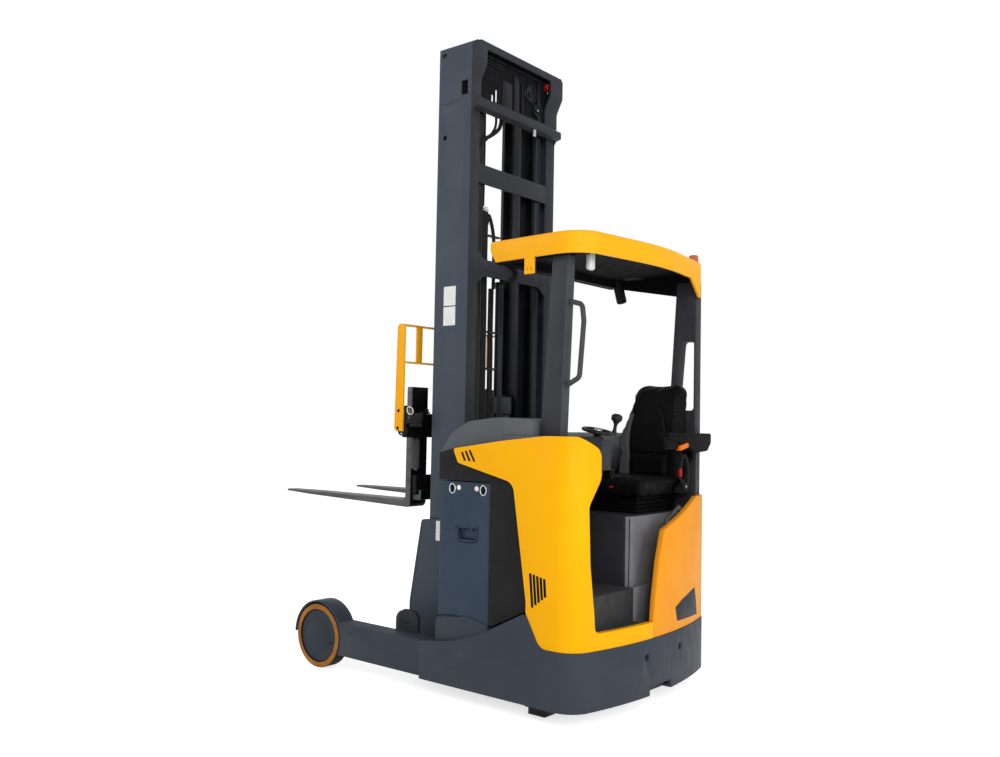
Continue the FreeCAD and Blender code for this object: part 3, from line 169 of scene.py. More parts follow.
def rod(bm, start, end, radius, end_radius=None, round_off=1.0, sides=24):
    """A round bar between two points in millimetres, with softened rims."""
    a, b = spot(*start), spot(*end)
    along = b - a
    where = Matrix.Translation((a + b) / 2) @ along.to_track_quat("Z", "Y").to_matrix().to_4x4()
    made = bmesh.ops.create_cone(
        bm,
        cap_ends=True,
        cap_tris=False,
        segments=sides,
        radius1=radius / 1000,
        radius2=(radius if end_radius is None else end_radius) / 1000,
        depth=along.length,
        matrix=where,
    )["verts"]
    heading = along.normalized()
    rims = set()
    for edge in {e for v in made for e in v.link_edges}:
        if abs((edge.verts[1].co - edge.verts[0].co).normalized().dot(heading)) < 0.5:
            rims.add(edge)
    soften(bm, rims, round_off)


def turned(bm, profile, middle, axis, steps=40):
    """A lathe shape: profile is (distance from the axis, distance along it) in millimetres."""
    axis = Vector(axis).normalized()
    side = axis.orthogonal().normalized()
    centre = spot(*middle)
    line = [bm.verts.new(centre + side * r / 1000 + axis * h / 1000) for r, h in profile]
    edges = [bm.edges.new(pair) for pair in zip(line, line[1:])]
    bmesh.ops.spin(
        bm,
        geom=line + edges,
        cent=centre,
        axis=axis,
        dvec=(0, 0, 0),
        angle=2 * math.pi,
        steps=steps,
        use_merge=True,
        use_duplicate=False,
    )
    bmesh.ops.remove_doubles(bm, verts=bm.verts, dist=MERGE)


def plate(bm, outline, push, radius=0.0, segments=2):
    """A flat plate: its outline in millimetres, pushed along a direction to its thickness."""
    face = bm.faces.new([bm.verts.new(spot(*p)) for p in outline])
    made = points_of(bmesh.ops.extrude_face_region(bm, geom=[face])["geom"])
    bmesh.ops.translate(bm, vec=size(*push), verts=made)
    rim = {e for v in made for e in v.link_edges if e.other_vert(v) in made}
    soften(bm, rim, radius, segments)


def hose(bm, points, radius, closed=False):
    """A hose or bent rod along a smooth line through a few points in millimetres."""
    curve = bpy.data.curves.new("line", "CURVE")
    curve.dimensions = "3D"
    curve.bevel_depth = radius / 1000
    curve.bevel_resolution = 4
    curve.use_fill_caps = not closed
    spline = curve.splines.new("NURBS")
    spline.points.add(len(points) - 1)
    for point, p in zip(spline.points, points):
        point.co = (*spot(*p), 1)
    spline.order_u = 3
    spline.use_endpoint_u = not closed
    spline.use_cyclic_u = closed
    spline.resolution_u = 8
    holder = bpy.data.objects.new("line", curve)
    mesh = bpy.data.meshes.new_from_object(holder)
    bm.from_mesh(mesh)
    bpy.data.objects.remove(holder)
    bpy.data.curves.remove(curve)
    bpy.data.meshes.remove(mesh)


def bolt(bm, at, axis, radius, height):
    """A hexagon bolt head on a washer, standing out from a surface."""
    axis = Vector(axis).normalized()
    middle = Vector(at)
    rod(bm, middle - axis * 2, middle + axis * height * 0.3, radius * 1.5, round_off=0.5, sides=20)
    rod(bm, middle, middle + axis * height, radius, round_off=1.0, sides=6)


# The frame's slot nearest to each finish that only these pieces use.
NEAREST_SLOT = {
    **dict.fromkeys(("mast_side", "mast_back", "post", "charcoal", "horn", "roof_frame"), "frame"),
    **dict.fromkeys(("pale_moulding", "dash", "hood", "step"), "moulding"),
    **dict.fromkeys(("rear_cover", "roof"), "cover"),
    **dict.fromkeys(("orange", "red"), "beacon_lens"),
    "fork_heel": "forks",
    "seat_bolster": "seat_trim",
    "blank_plate": "lamp",
    "zinc": "rod_steel",
    "hose": "controls",
    "gap": "dark_trim",
}


def settle(name, bm, finish, body, slot=None, angle=35, joined=True):
    """Turns a finished mesh into a named piece that rides on a body."""
    if joined:
        bmesh.ops.remove_doubles(bm, verts=bm.verts, dist=2e-6)
        bmesh.ops.recalc_face_normals(bm, faces=bm.faces)
    mesh = bpy.data.meshes.new(name)
    bm.to_mesh(mesh)
    bm.free()
    mesh.shade_smooth()
    mesh.set_sharp_from_angle(angle=math.radians(angle))
    made = bpy.data.objects.new(name, mesh)
    bpy.context.scene.collection.objects.link(made)
    made.data.materials.append(finished(finish))
    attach(made, body)
    return made


@contextmanager
def piece(name, finish, body="chassis", replaces=None, **settings):
    """An empty mesh that becomes a piece when its "with" block ends, in place of a frame part if named."""
    bm = bmesh.new()
    yield bm
    made = settle(name, bm, finish, body, **settings)
    if replaces:
        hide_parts(replaces)


def looks_back(face):
    """True for a face that looks towards the truck's rear."""
    return face.normal.x < -0.35


def looks_left(face):
    """True for a face that looks towards the truck's left side."""
    return face.normal.y > 0.7


def is_tread(face):
    """True for a face that runs round a wheel rather than across its axle."""
    return abs(face.normal.y) < 0.8


def refined(node, radius, finish, rear=None, chosen=looks_back):
    """A merged copy of a frame part with its sharp edges rounded, shown in its place.

    rear is the finish of its chosen faces."""
    source = NODES[node]
    sharp_angle = 32
    bm = bmesh.new()
    bm.from_mesh(source.data)
    bmesh.ops.remove_doubles(bm, verts=bm.verts, dist=MERGE)
    bmesh.ops.dissolve_limit(
        bm, angle_limit=math.radians(0.5), verts=bm.verts, edges=bm.edges, use_dissolve_boundaries=False
    )
    limit = math.radians(sharp_angle)
    soften(bm, [e for e in bm.edges if len(e.link_faces) == 2 and e.calc_face_angle(0) > limit], radius)
    if rear:
        bm.normal_update()
        for face in bm.faces:
            face.material_index = int(chosen(face))
    made = settle(node + "_edged", bm, finish, source["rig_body"], angle=sharp_angle, joined=False)
    if rear:
        made.data.materials.append(finished(rear))
    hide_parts(node)


# ---------------------------------------------------------------- finishes


def add(tree, kind, links=None, **settings):
    """Adds one node with its settings and its socket values or links."""
    made = tree.nodes.new(kind)
    for key, value in settings.items():
        setattr(made, key, value)
    for socket, value in (links or {}).items():
        if isinstance(value, bpy.types.NodeSocket):
            tree.links.new(value, made.inputs[socket])
        else:
            made.inputs[socket].default_value = value
    return made


def blank_finish(name, **sockets):
    """A new material with a shader on its output, and its place on the object.

    sockets are the shader's plain values, with low lines for the spaces in their names."""
    made = bpy.data.materials.new(name)
    made.use_nodes = True
    tree = made.node_tree
    tree.nodes.clear()
    plain = {key.replace("_", " "): value for key, value in sockets.items()}
    shader = add(tree, "ShaderNodeBsdfPrincipled", plain)
    add(tree, "ShaderNodeOutputMaterial", {"Surface": shader.outputs["BSDF"]})
    place = add(tree, "ShaderNodeTexCoord").outputs["Object"]
    return made, tree, shader, place


def mottle(tree, place, grain, low, high, detail=3.0, stretch=(1, 1, 1)):
    """Two colours or greys blended by soft noise whose grain is given in millimetres."""
    where = add(tree, "ShaderNodeMapping", {"Vector": place, "Scale": stretch})
    grains = {"Vector": where.outputs["Vector"], "Scale": 1000 / grain, "Detail": detail, "Roughness": 0.55}
    noise = add(tree, "ShaderNodeTexNoise", grains)
    ramp = add(tree, "ShaderNodeValToRGB", {"Fac": noise.outputs["Fac"]})
    return coloured(ramp, low, high, (0.35, 0.65))


def coloured(ramp, low, high, band=(0.0, 1.0)):
    """The colour of a ramp whose two ends are set."""
    for end, place, colour in zip(ramp.color_ramp.elements, band, (low, high)):
        end.position = place
        end.color = colour
    return ramp.outputs["Color"]


def band_scale(pitch):
    """The scale at which a wave texture's bands repeat at this pitch in millimetres."""
    return 1000 / pitch * math.pi / 10


def grey(value):
    """A plain grey as a ramp colour."""
    return (value, value, value, 1.0)


def wired(made, tree, shader, tone, gloss=None, relief=None, depth=0.0, strength=0.5):
    """Joins a colour, a roughness and a relief of a depth in millimetres to the shader of a material."""
    tree.links.new(tone, shader.inputs["Base Color"])
    if gloss:
        tree.links.new(gloss, shader.inputs["Roughness"])
    if relief:
        settings = {"Height": relief, "Distance": depth / 1000, "Strength": strength}
        bump = add(tree, "ShaderNodeBump", settings)
        tree.links.new(bump.outputs["Normal"], shader.inputs["Normal"])
    return made


def coated(name, light, dark, rough, peel, depth, patch=400.0, specular=0.1):
    """A paint, coat or moulding: two close tones in soft patches, gloss that wanders, and a fine skin."""
    made, tree, shader, place = blank_finish(name, Specular_IOR_Level=specular)
    tone = mottle(tree, place, patch, linear(dark), linear(light))
    gloss = mottle(tree, place, patch / 5, grey(rough - 0.05), grey(rough + 0.07))
    skin = add(tree, "ShaderNodeTexNoise", {"Vector": place, "Scale": 1000 / peel, "Detail": 2.0})
    return wired(made, tree, shader, tone, gloss, skin.outputs["Fac"], depth, 0.6)


# Coats and mouldings. Each row has the material's name, its paler and darker tone and its roughness, then in
# millimetres the grain and depth of its skin and the width of its patches, and last its specular level.
COATS = {
    # Steel plate of hull and legs with a satin slate powder coat: broad calm tone and a faint orange peel.
    "frame": ("slate_powder_coat", "#3B4049", "#363B44", 0.46, 5.0, 0.12),
    # The mast's outer sides and foot plates: the same powder coat in a paler tone, painted light on the foot
    # plates against the battery's shadow.
    "mast_side": ("pale_slate_powder_coat", "#454D57", "#404852", 0.46, 5.0, 0.12),
    # The mast's rear flanges and cross members, and its head: the same coat painted darker as painted shade,
    # and dulled by an oil film.
    "mast_back": ("shaded_oiled_powder_coat", "#34363B", "#2F3136", 0.5, 5.0, 0.12, 200.0),
    # Front post of the cab: neutral grey powder coat, slightly glossier where hands hold it.
    "post": ("neutral_grey_powder_coat", "#3C3D41", "#36373B", 0.44, 5.0, 0.12, 200.0),
    # Rear post in charcoal powder coat: nearly black, fine skin.
    "charcoal": ("charcoal_powder_coat", "#3A3A3F", "#343438", 0.5, 5.0, 0.12, 200.0),
    # Roof frame and its inner sheet: flat black-grey coat that is never touched, its near-black tone partly
    # painted shade for the shade under the roof.
    "roof_frame": ("flat_black_grey_coat", "#0B0B0D", "#09090A", 0.7, 5.0, 0.12, 200.0, 0.04),
    # Cast stop on the reach carriage under a thick, rough coat of dark paint.
    "horn": ("rough_cast_coat", "#303438", "#2A2E31", 0.55, 4.0, 0.3, 60.0),
    # Battery case in blue-grey enamel, brushed over welded plate: cooler and glossier than the frame.
    "battery_case": ("battery_enamel", "#364252", "#323E4C", 0.42, 7.0, 0.15, 300.0),
    # Cast and welded iron under black paint: deep tone, uneven gloss, grainy skin.
    "black_iron": ("black_painted_iron", "#101012", "#0A0A0B", 0.42, 4.0, 0.25, 90.0),
    # Cast wheel disc in slate enamel: smooth, with the slight waves of a casting.
    "wheel_disc": ("cast_wheel_enamel", "#303740", "#2B323A", 0.4, 14.0, 0.3, 120.0),
    # Black polyurethane drive tyre: matt, scuffed grey in places where it scrubs the floor.
    "drive_tyre": ("black_tyre_rubber", "#2A2A2A", "#161616", 0.72, 3.0, 0.3, 40.0),
    # Moulded body cover in golden yellow paint: clean, slightly deeper in broad patches.
    "cover": ("golden_cover_paint", "#FDB700", "#F9AF00", 0.42, 9.0, 0.05, 700.0),
    # Rear cover in the same paint, a shade deeper and towards orange: painted shade of the truck's rear.
    "rear_cover": ("shaded_golden_cover_paint", "#F6A022", "#F0981A", 0.42, 9.0, 0.05, 500.0),
    # Roof moulding in golden yellow, bleached a little by the sun.
    "roof": ("bleached_golden_paint", "#FCB41A", "#F8AC14", 0.42, 9.0, 0.05, 600.0),
    # Moulded polypropylene in charcoal with a fine spark-eroded grain, drawn at 2 mm so that it shows.
    "dark_trim": ("grained_charcoal_polypropylene", "#1D1D1F", "#18181A", 0.52, 2.0, 0.12, 250.0),
    # ABS moulding in dark slate grey: soft sheen and a fine grain, drawn at 2 mm.
    "moulding": ("slate_abs_moulding", "#34353A", "#2E2F33", 0.5, 2.0, 0.1, 250.0),
    # Dash panel in the cab: the slate moulding in a near-black shade.
    "dash": ("dark_dash_moulding", "#252628", "#202123", 0.55, 2.0, 0.1, 250.0),
    # Large hood moulding between seat and mast: paler blue-grey.
    "hood": ("weathered_hood_moulding", "#5A6064", "#50565A", 0.5, 2.0, 0.1, 250.0),
    # Rear faces of the seat box and the step's riser: the slate moulding painted pale, as painted light
    # against the shade inside the cab.
    "pale_moulding": ("pale_moulding_painted_light", "#747578", "#696A6D", 0.55, 2.0, 0.12, 250.0),
    # Panel on the dash's rear nose: the tough grey polymer of steps, scuffed by boots and bags.
    "step": ("scuffed_step_polymer", "#38373C", "#323136", 0.58, 2.0, 0.15, 120.0),
    # Black moulded nylon of levers and grips: satin, with small bright touches where hands polish it.
    "controls": ("black_control_nylon", "#1D1B1B", "#151415", 0.38, 3.0, 0.08, 30.0, 0.15),
    # Back of the fork's shank: a flat mid grey, painted light against the shade of the mast.
    "fork_heel": ("fork_heel_painted_light", "#646467", "#58585B", 0.55, 4.0, 0.15, 80.0),
    # Pressed steel and rubber of the seat's suspension and armrest: matt black.
    "seat_mechanism": ("matt_black_mechanism", "#0A0A0B", "#070708", 0.6, 3.0, 0.1, 60.0, 0.06),
    # Handles in mid-grey plastic-dipped steel tube: soft satin.
    "handle": ("grey_dipped_handle", "#46484C", "#3E4044", 0.42, 3.0, 0.08, 80.0),
    # Signal orange ABS of the switch cap: bright, smooth, a little worn on its crown.
    "orange": ("signal_orange_abs", "#F07818", "#E4690F", 0.35, 3.0, 0.05, 20.0),
    # Red moulded cap or buckle key: glossy and saturated.
    "red": ("red_moulded_cap", "#A31A1B", "#861212", 0.4, 3.0, 0.05, 20.0),
    # Plain white plate with a satin film on it and nothing printed.
    "blank_plate": ("plain_white_plate", "#ECECEA", "#E2E2E0", 0.4, 6.0, 0.03, 40.0),
    # Hydraulic hose cover: wrapped rubber, matt black, with the cloth print of its wrap at 3 mm.
    "hose": ("wrapped_hose_rubber", "#1B1C1D", "#111213", 0.55, 3.0, 0.2, 25.0),
    # Dull black that takes hardly any light: the real black of seams, the dash's window and the camera
    # glass, and painted shade where it stands for the shade inside slits, holes, recesses and the mast head.
    "gap": ("seam_black_and_painted_shade", "#141416", "#0A0A0B", 0.8, 4.0, 0.1, 30.0),
}


def mast_paint():
    # Rolled mast section in dark satin paint with a film of grease: near black, long streaks of gloss.
    made, tree, shader, place = blank_finish("greased_mast_paint", Specular_IOR_Level=0.15)
    tone = mottle(tree, place, 30.0, linear("#0D0E10"), linear("#191B1F"), stretch=(1, 1, 0.05))
    gloss = mottle(tree, place, 18.0, grey(0.28), grey(0.5), stretch=(1, 1, 0.04))
    return wired(made, tree, shader, tone, gloss)


def load_tyre():
    # Cast polyurethane tread in amber: waxy, even, with slow clouds in its colour.
    made = coated("amber_polyurethane", "#A8702E", "#965F24", 0.42, 6.0, 0.1, patch=60.0)
    shader = made.node_tree.nodes["Principled BSDF"]
    shader.inputs["Subsurface Weight"].default_value = 0.08
    shader.inputs["Subsurface Scale"].default_value = 0.004
    return made


def floor_rubber():
    # Rubber floor mat: matt black-grey with ribs at a 14 mm pitch, darker between them.
    made, tree, shader, place = blank_finish("ribbed_floor_rubber")
    waves = {"Vector": place, "Scale": band_scale(14.0), "Distortion": 0.0}
    ribs = add(tree, "ShaderNodeTexWave", waves, wave_type="BANDS", bands_direction="X").outputs["Fac"]
    tone = coloured(add(tree, "ShaderNodeValToRGB", {"Fac": ribs}), linear("#191A1C"), linear("#2A2C2F"))
    return wired(made, tree, shader, tone, mottle(tree, place, 60.0, grey(0.6), grey(0.85)), ribs, 2.0, 0.8)


def seat_vinyl():
    # Black upholstery vinyl with a leather grain of 2.6 mm cells: satin on the cells, darker in the creases.
    made, tree, shader, place = blank_finish("black_seat_vinyl", Specular_IOR_Level=0.05)
    grain = {"Vector": place, "Scale": 1000 / 2.6}
    cells = add(tree, "ShaderNodeTexVoronoi", grain, feature="DISTANCE_TO_EDGE")
    ramp = add(tree, "ShaderNodeValToRGB", {"Fac": cells.outputs["Distance"]})
    crease = coloured(ramp, linear("#070708"), linear("#121214"), (0.0, 0.18))
    return wired(made, tree, shader, crease, mottle(tree, place, 35.0, grey(0.42), grey(0.58)), crease, 0.4)


def bolster_vinyl():
    # The seat's side panels in the same vinyl, one shade greyer and with a dry, woven look at 4 mm.
    made, tree, shader, place = blank_finish("grey_bolster_vinyl", Specular_IOR_Level=0.12)
    threads = {"Vector": place, "Scale": 1000 / 4.0}
    threads |= {"Color1": linear("#4F4F50"), "Color2": linear("#444445")}
    weave = add(tree, "ShaderNodeTexChecker", threads).outputs["Color"]
    return wired(made, tree, shader, weave, mottle(tree, place, 30.0, grey(0.6), grey(0.75)))


def lamp_opal():
    # Opal polycarbonate of the work lamp: milky white with faint prisms moulded at an 8 mm pitch.
    made, tree, shader, place = blank_finish("opal_polycarbonate", Roughness=0.3)
    waves = {"Vector": place, "Scale": band_scale(8.0)}
    prisms = add(tree, "ShaderNodeTexWave", waves, wave_type="BANDS", bands_direction="Z").outputs["Fac"]
    tone = coloured(add(tree, "ShaderNodeValToRGB", {"Fac": prisms}), linear("#D9DADA"), linear("#F0F0EE"))
    return wired(made, tree, shader, tone, None, prisms, 0.8)


def beacon_amber():
    # Amber acrylic dome of the beacon with fine upright flutes at a 6 mm pitch.
    made, tree, shader, place = blank_finish("amber_acrylic", Roughness=0.2, Coat_Weight=0.4)
    waves = {"Vector": place, "Scale": band_scale(6.0)}
    flutes = add(tree, "ShaderNodeTexWave", waves, wave_type="BANDS", bands_direction="Y").outputs["Fac"]
    tone = coloured(add(tree, "ShaderNodeValToRGB", {"Fac": flutes}), linear("#A24A18"), linear("#C46324"))
    return wired(made, tree, shader, tone)


def ground_steel():
    # Ground and hard-chromed rod: bright metal with fine lines round it, drawn at 1.5 mm.
    made, tree, shader, place = blank_finish("ground_chromed_steel", Metallic=1.0)
    tone = mottle(tree, place, 12.0, linear("#8E9297"), linear("#A9ADB2"), stretch=(1, 1, 4))
    gloss = mottle(tree, place, 1.5, grey(0.16), grey(0.3), stretch=(0.1, 0.1, 1))
    return wired(made, tree, shader, tone, gloss)


def fork_steel():
    # Forged fork steel, blacked and then rubbed by pallets: long paler scuffs run along the blade.
    made, tree, shader, place = blank_finish("forged_fork_steel", Metallic=0.35)
    scuff = mottle(tree, place, 26.0, linear("#3A3A3A"), linear("#4E4E4D"), stretch=(0.12, 1, 1), detail=5.0)
    gloss = mottle(tree, place, 20.0, grey(0.38), grey(0.6), stretch=(0.2, 1, 1))
    pits = add(tree, "ShaderNodeTexNoise", {"Vector": place, "Scale": 1000 / 5.0, "Detail": 4.0})
    return wired(made, tree, shader, scuff, gloss, pits.outputs["Fac"], 0.3)


def zinc_plate():
    # Bright zinc-plated bolts and pins: pale metal with a cloudy crystal sheen.
    made, tree, shader, place = blank_finish("zinc_plated_steel", Metallic=0.9)
    tone = mottle(tree, place, 5.0, linear("#A3A7AA"), linear("#C9CCCE"))
    return wired(made, tree, shader, tone, mottle(tree, place, 3.0, grey(0.25), grey(0.42)))


MAKERS = {
    "mast_inside": mast_paint,
    "load_tyre": load_tyre,
    "floor_mat": floor_rubber,
    "seat_trim": seat_vinyl,
    "seat_bolster": bolster_vinyl,
    "lamp": lamp_opal,
    "beacon_lens": beacon_amber,
    "rod_steel": ground_steel,
    "forks": fork_steel,
    "zinc": zinc_plate,
}
MADE = {}


def finished(name):
    """The finish of this name, made once."""
    if name not in MADE:
        MADE[name] = coated(*COATS[name]) if name in COATS else MAKERS[name]()
    return MADE[name]


# ---------------------------------------------------------------- settings


class TruckStageSettings(bpy.types.PropertyGroup):
    """Camera and light."""

    lens: bpy.props.FloatProperty(
        name="Lens",
        description="Focal length on a 36 mm wide sensor",
        default=33.99,
        min=10,
        max=200,
        unit="CAMERA",
    )
    heading: bpy.props.FloatProperty(
        name="Heading",
        description="Turn of the view about the vertical",
        default=math.radians(-51.0),
        subtype="ANGLE",
    )
    rise: bpy.props.FloatProperty(
        name="Rise", description="Upward tilt of the view", default=math.radians(2.68), subtype="ANGLE"
    )
    roll: bpy.props.FloatProperty(
        name="Roll",
        description="Turn of the view about its own axis",
        default=math.radians(1.1),
        subtype="ANGLE",
    )
    sky: bpy.props.FloatProperty(
        name="Sky", description="Strength of the even light from all sides", default=0.5, min=0, max=3
    )
    key: bpy.props.FloatProperty(
        name="Key", description="Power of the large soft lamp", default=230.0, min=0, max=2000, unit="POWER"
    )


class TruckSeatSettings(bpy.types.PropertyGroup):
    """The padded pieces."""

    voxel: bpy.props.FloatProperty(
        name="Voxel",
        description="Grid of the padded pieces before they swell",
        default=0.006,
        min=0.003,
        max=0.02,
        unit="LENGTH",
    )
    pressure: bpy.props.FloatProperty(
        name="Pressure", description="Air pressure that swells the padding", default=4.0, min=0, max=20
    )
    travel: bpy.props.FloatProperty(
        name="Travel",
        description="Furthest that a point of the cushion may move",
        default=0.022,
        min=0,
        max=0.05,
        unit="LENGTH",
    )
    stitch: bpy.props.FloatProperty(
        name="Stitch depth",
        description="Depth of a sewn seam",
        default=0.007,
        min=0,
        max=0.02,
        unit="LENGTH",
    )


class TruckBodySettings(bpy.types.PropertyGroup):
    """Edges of the steel and the covers."""

    steel_edge: bpy.props.FloatProperty(
        name="Steel edge",
        description="Rounding of cut steel edges in millimetres",
        default=2.0,
        min=0,
        max=10,
    )
    cover_edge: bpy.props.FloatProperty(
        name="Cover edge",
        description="Rounding of moulded cover edges in millimetres",
        default=4.0,
        min=0,
        max=15,
    )


# ---------------------------------------------------------------- stage

# Where the camera stands, and what the lamps point at, in metres.
EYE = (-3.5178, 4.0952, 1.3564)
LAMPS_AIM = Vector((0, 0, 1.2))
# Each lamp: its place and width in metres, and its share of the key's power.
LAMPS = {
    "key_lamp": ((-5.5, 5.5, 3.8), 3.5, 1.0),
    "front_lamp": ((4.5, 5.0, 4.0), 3.0, 0.35),
    "rear_lamp": ((-7.0, 0.5, 2.6), 3.0, 0.45),
}
WHITE = (1, 1, 1, 1)
BLACK = (0, 0, 0, 1)


def straight_rays(tree):
    """A socket that is 1 for rays that show the background: from the camera, off gloss or through glass."""
    ray = add(tree, "ShaderNodeLightPath").outputs
    mirrored = {0: ray["Is Camera Ray"], 1: ray["Is Glossy Ray"]}
    mirrored = add(tree, "ShaderNodeMath", mirrored, operation="MAXIMUM").outputs[0]
    return add(
        tree, "ShaderNodeMath", {0: mirrored, 1: ray["Is Transmission Ray"]}, operation="MAXIMUM"
    ).outputs[0]


class TRUCK_OT_stage(bpy.types.Operator):
    """Sets the camera, the floor and the light"""

    bl_idname = "truck.stage"
    bl_label = "Stage"

    def execute(self, context):
        scene = context.scene
        chosen = scene.truck_stage
        scene.view_settings.view_transform = "Standard"
        self.camera(scene, chosen)
        self.room(scene, chosen.sky)
        for name, (place, width, share) in LAMPS.items():
            lamp = bpy.data.lights.new(name, "AREA")
            lamp.energy = chosen.key * share
            lamp.size = width
            holder = bpy.data.objects.new(name, lamp)
            aim = LAMPS_AIM - Vector(place)
            turn = aim.to_track_quat("-Z", "Y").to_matrix().to_4x4()
            holder.matrix_world = Matrix.Translation(place) @ turn
            scene.collection.objects.link(holder)
        self.floor(scene)
        return {"FINISHED"}

    def camera(self, scene, chosen):
        level = math.cos(chosen.rise)
        heading = chosen.heading
        ahead = Vector((level * math.cos(heading), level * math.sin(heading), math.sin(chosen.rise)))
        across = Vector((math.sin(heading), -math.cos(heading), 0))
        upward = across.cross(ahead)
        right = across * math.cos(chosen.roll) + upward * math.sin(chosen.roll)
        top = upward * math.cos(chosen.roll) - across * math.sin(chosen.roll)
        lens = bpy.data.cameras.new("camera")
        lens.lens = chosen.lens
        lens.sensor_width = 36
        lens.sensor_fit = "HORIZONTAL"
        lens.clip_end = 200
        camera = bpy.data.objects.new("camera", lens)
        camera.matrix_world = Matrix.Translation(EYE) @ Matrix((right, top, -ahead)).transposed().to_4x4()
        scene.collection.objects.link(camera)
        scene.camera = camera

    def room(self, scene, strength):
        world = bpy.data.worlds.new("soft_white_room")
        world.use_nodes = True
        tree = world.node_tree
        tree.nodes.clear()
        seen = straight_rays(tree)
        soft = add(tree, "ShaderNodeBackground", {"Color": WHITE, "Strength": strength}).outputs[0]
        plain = add(tree, "ShaderNodeBackground", {"Color": WHITE, "Strength": 1.0}).outputs[0]
        mixed = add(tree, "ShaderNodeMixShader", {0: seen, 1: soft, 2: plain})
        add(tree, "ShaderNodeOutputWorld", {"Surface": mixed.outputs[0]})
        scene.world = world

    def floor(self, scene):
        bm = bmesh.new()
        bmesh.ops.create_grid(bm, x_segments=8, y_segments=8, size=60)
        mesh = bpy.data.meshes.new("studio_floor")
        bm.to_mesh(mesh)
        bm.free()
        floor = bpy.data.objects.new("studio_floor", mesh)
        scene.collection.objects.link(floor)
        # Pale painted studio floor: it keeps the soft shadow and runs out to white.
        made, tree, shader, place = blank_finish("pale_studio_floor", Roughness=0.9, Specular_IOR_Level=0.1)
        wired(made, tree, shader, mottle(tree, place, 2000.0, linear("#F2F2F2"), linear("#F6F6F6")))
        seen = straight_rays(tree)
        lift = add(tree, "ShaderNodeEmission", {"Color": WHITE, "Strength": 0.7}).outputs[0]
        none = add(tree, "ShaderNodeEmission", {"Color": BLACK, "Strength": 0.0}).outputs[0]
        glow = add(tree, "ShaderNodeMixShader", {0: seen, 1: none, 2: lift}).outputs[0]
        both = add(tree, "ShaderNodeAddShader", {0: shader.outputs["BSDF"], 1: glow})
        output = [n for n in tree.nodes if n.type == "OUTPUT_MATERIAL"][0]
        tree.links.new(both.outputs[0], output.inputs["Surface"])
        floor.data.materials.append(made)


class TRUCK_OT_finishes(bpy.types.Operator):
    """Gives every part of the frame its real finish"""

    bl_idname = "truck.finishes"
    bl_label = "Finishes"

    def execute(self, context):
        for node in NODES.values():
            for place in node.material_slots:
                place.material = finished(place.material.name)
        return {"FINISHED"}


# ---------------------------------------------------------------- seat

# How far a pad starts inside its frame part, and how far it may end outside, in metres.
PAD_INSET = 0.004
PAD_SPREAD = 0.008
CLOTH_FRAMES = 20
# Width of a sewn channel in millimetres.
SEAM_WIDTH = 7.0
# The backrest's lumbar roll in millimetres: its middle (x, z), half its width and height, how far it
# stands out, and the depth of the seam round it.
ROLL_MIDDLE = (306, 1148)
ROLL_HALF = (112, 56)
ROLL_RISE = 9.0
ROLL_SEAM = 5.0
# Its side bolsters in millimetres: the middle between them, how far out they start, the width over which
# they rise and how far, then the height where they end and the length over which they fade out.
BOLSTER_MIDDLE = 308
BOLSTER_START = 120
BOLSTER_SLOPE = 90
BOLSTER_RISE = 6.0
BOLSTER_TOP = 1560
BOLSTER_FADE = 80


def smoothed(mesh, rounds):
    """Evens out a mesh a few times."""
    bm = bmesh.new()
    bm.from_mesh(mesh)
    every_axis = dict.fromkeys(("use_axis_x", "use_axis_y", "use_axis_z"), True)
    for _ in range(rounds):
        bmesh.ops.smooth_vert(bm, verts=bm.verts, factor=0.5, **every_axis)
    bm.to_mesh(mesh)
    bm.free()


def keep_result(context, made):
    """Makes the result of a piece's modifiers its own mesh."""
    context.view_layer.update()
    shown = made.evaluated_get(context.evaluated_depsgraph_get())
    mesh = bpy.data.meshes.new_from_object(shown)
    old = made.data
    made.modifiers.clear()
    made.data = mesh
    bpy.data.meshes.remove(old)


def swollen(context, name, node, low, high):
    """Swells a copy of a soft frame part as air in a cloth skin would, and keeps it between two corners."""
    chosen = context.scene.truck_seat
    bm = bmesh.new()
    bm.from_mesh(NODES[node].data)
    bmesh.ops.remove_doubles(bm, verts=bm.verts, dist=MERGE)
    bm.normal_update()
    for v in bm.verts:
        v.co -= v.normal * PAD_INSET
    mesh = bpy.data.meshes.new(name)
    bm.to_mesh(mesh)
    bm.free()
    pad = bpy.data.objects.new(name, mesh)
    context.scene.collection.objects.link(pad)
    grid = pad.modifiers.new("grid", "REMESH")
    grid.mode = "VOXEL"
    grid.voxel_size = chosen.voxel
    keep_result(context, pad)
    smoothed(pad.data, 6)
    rest = [v.co.copy() for v in pad.data.vertices]
    cloth = pad.modifiers.new("air", "CLOTH")
    cloth.settings.use_pressure = True
    cloth.settings.uniform_pressure_force = chosen.pressure
    cloth.settings.effector_weights.gravity = 0
    cloth.settings.quality = 4
    cloth.point_cache.frame_start = 1
    cloth.point_cache.frame_end = CLOTH_FRAMES
    for step in range(1, CLOTH_FRAMES + 1):
        context.scene.frame_set(step)
    keep_result(context, pad)
    context.scene.frame_set(1)
    for v, start in zip(pad.data.vertices, rest):
        moved = v.co - start
        if moved.length > chosen.travel:
            moved *= chosen.travel / moved.length
        v.co = [min(max(c, a), b) for c, a, b in zip(start + moved, low, high)]
    smoothed(pad.data, 3)
    fine = pad.modifiers.new("fine", "SUBSURF")
    fine.levels = fine.render_levels = 1
    keep_result(context, pad)
    return pad


def channel(distance):
    """How deep a sewn channel is at a distance from its seam, as a share of its full depth."""
    return math.exp(-((distance / SEAM_WIDTH) ** 2))


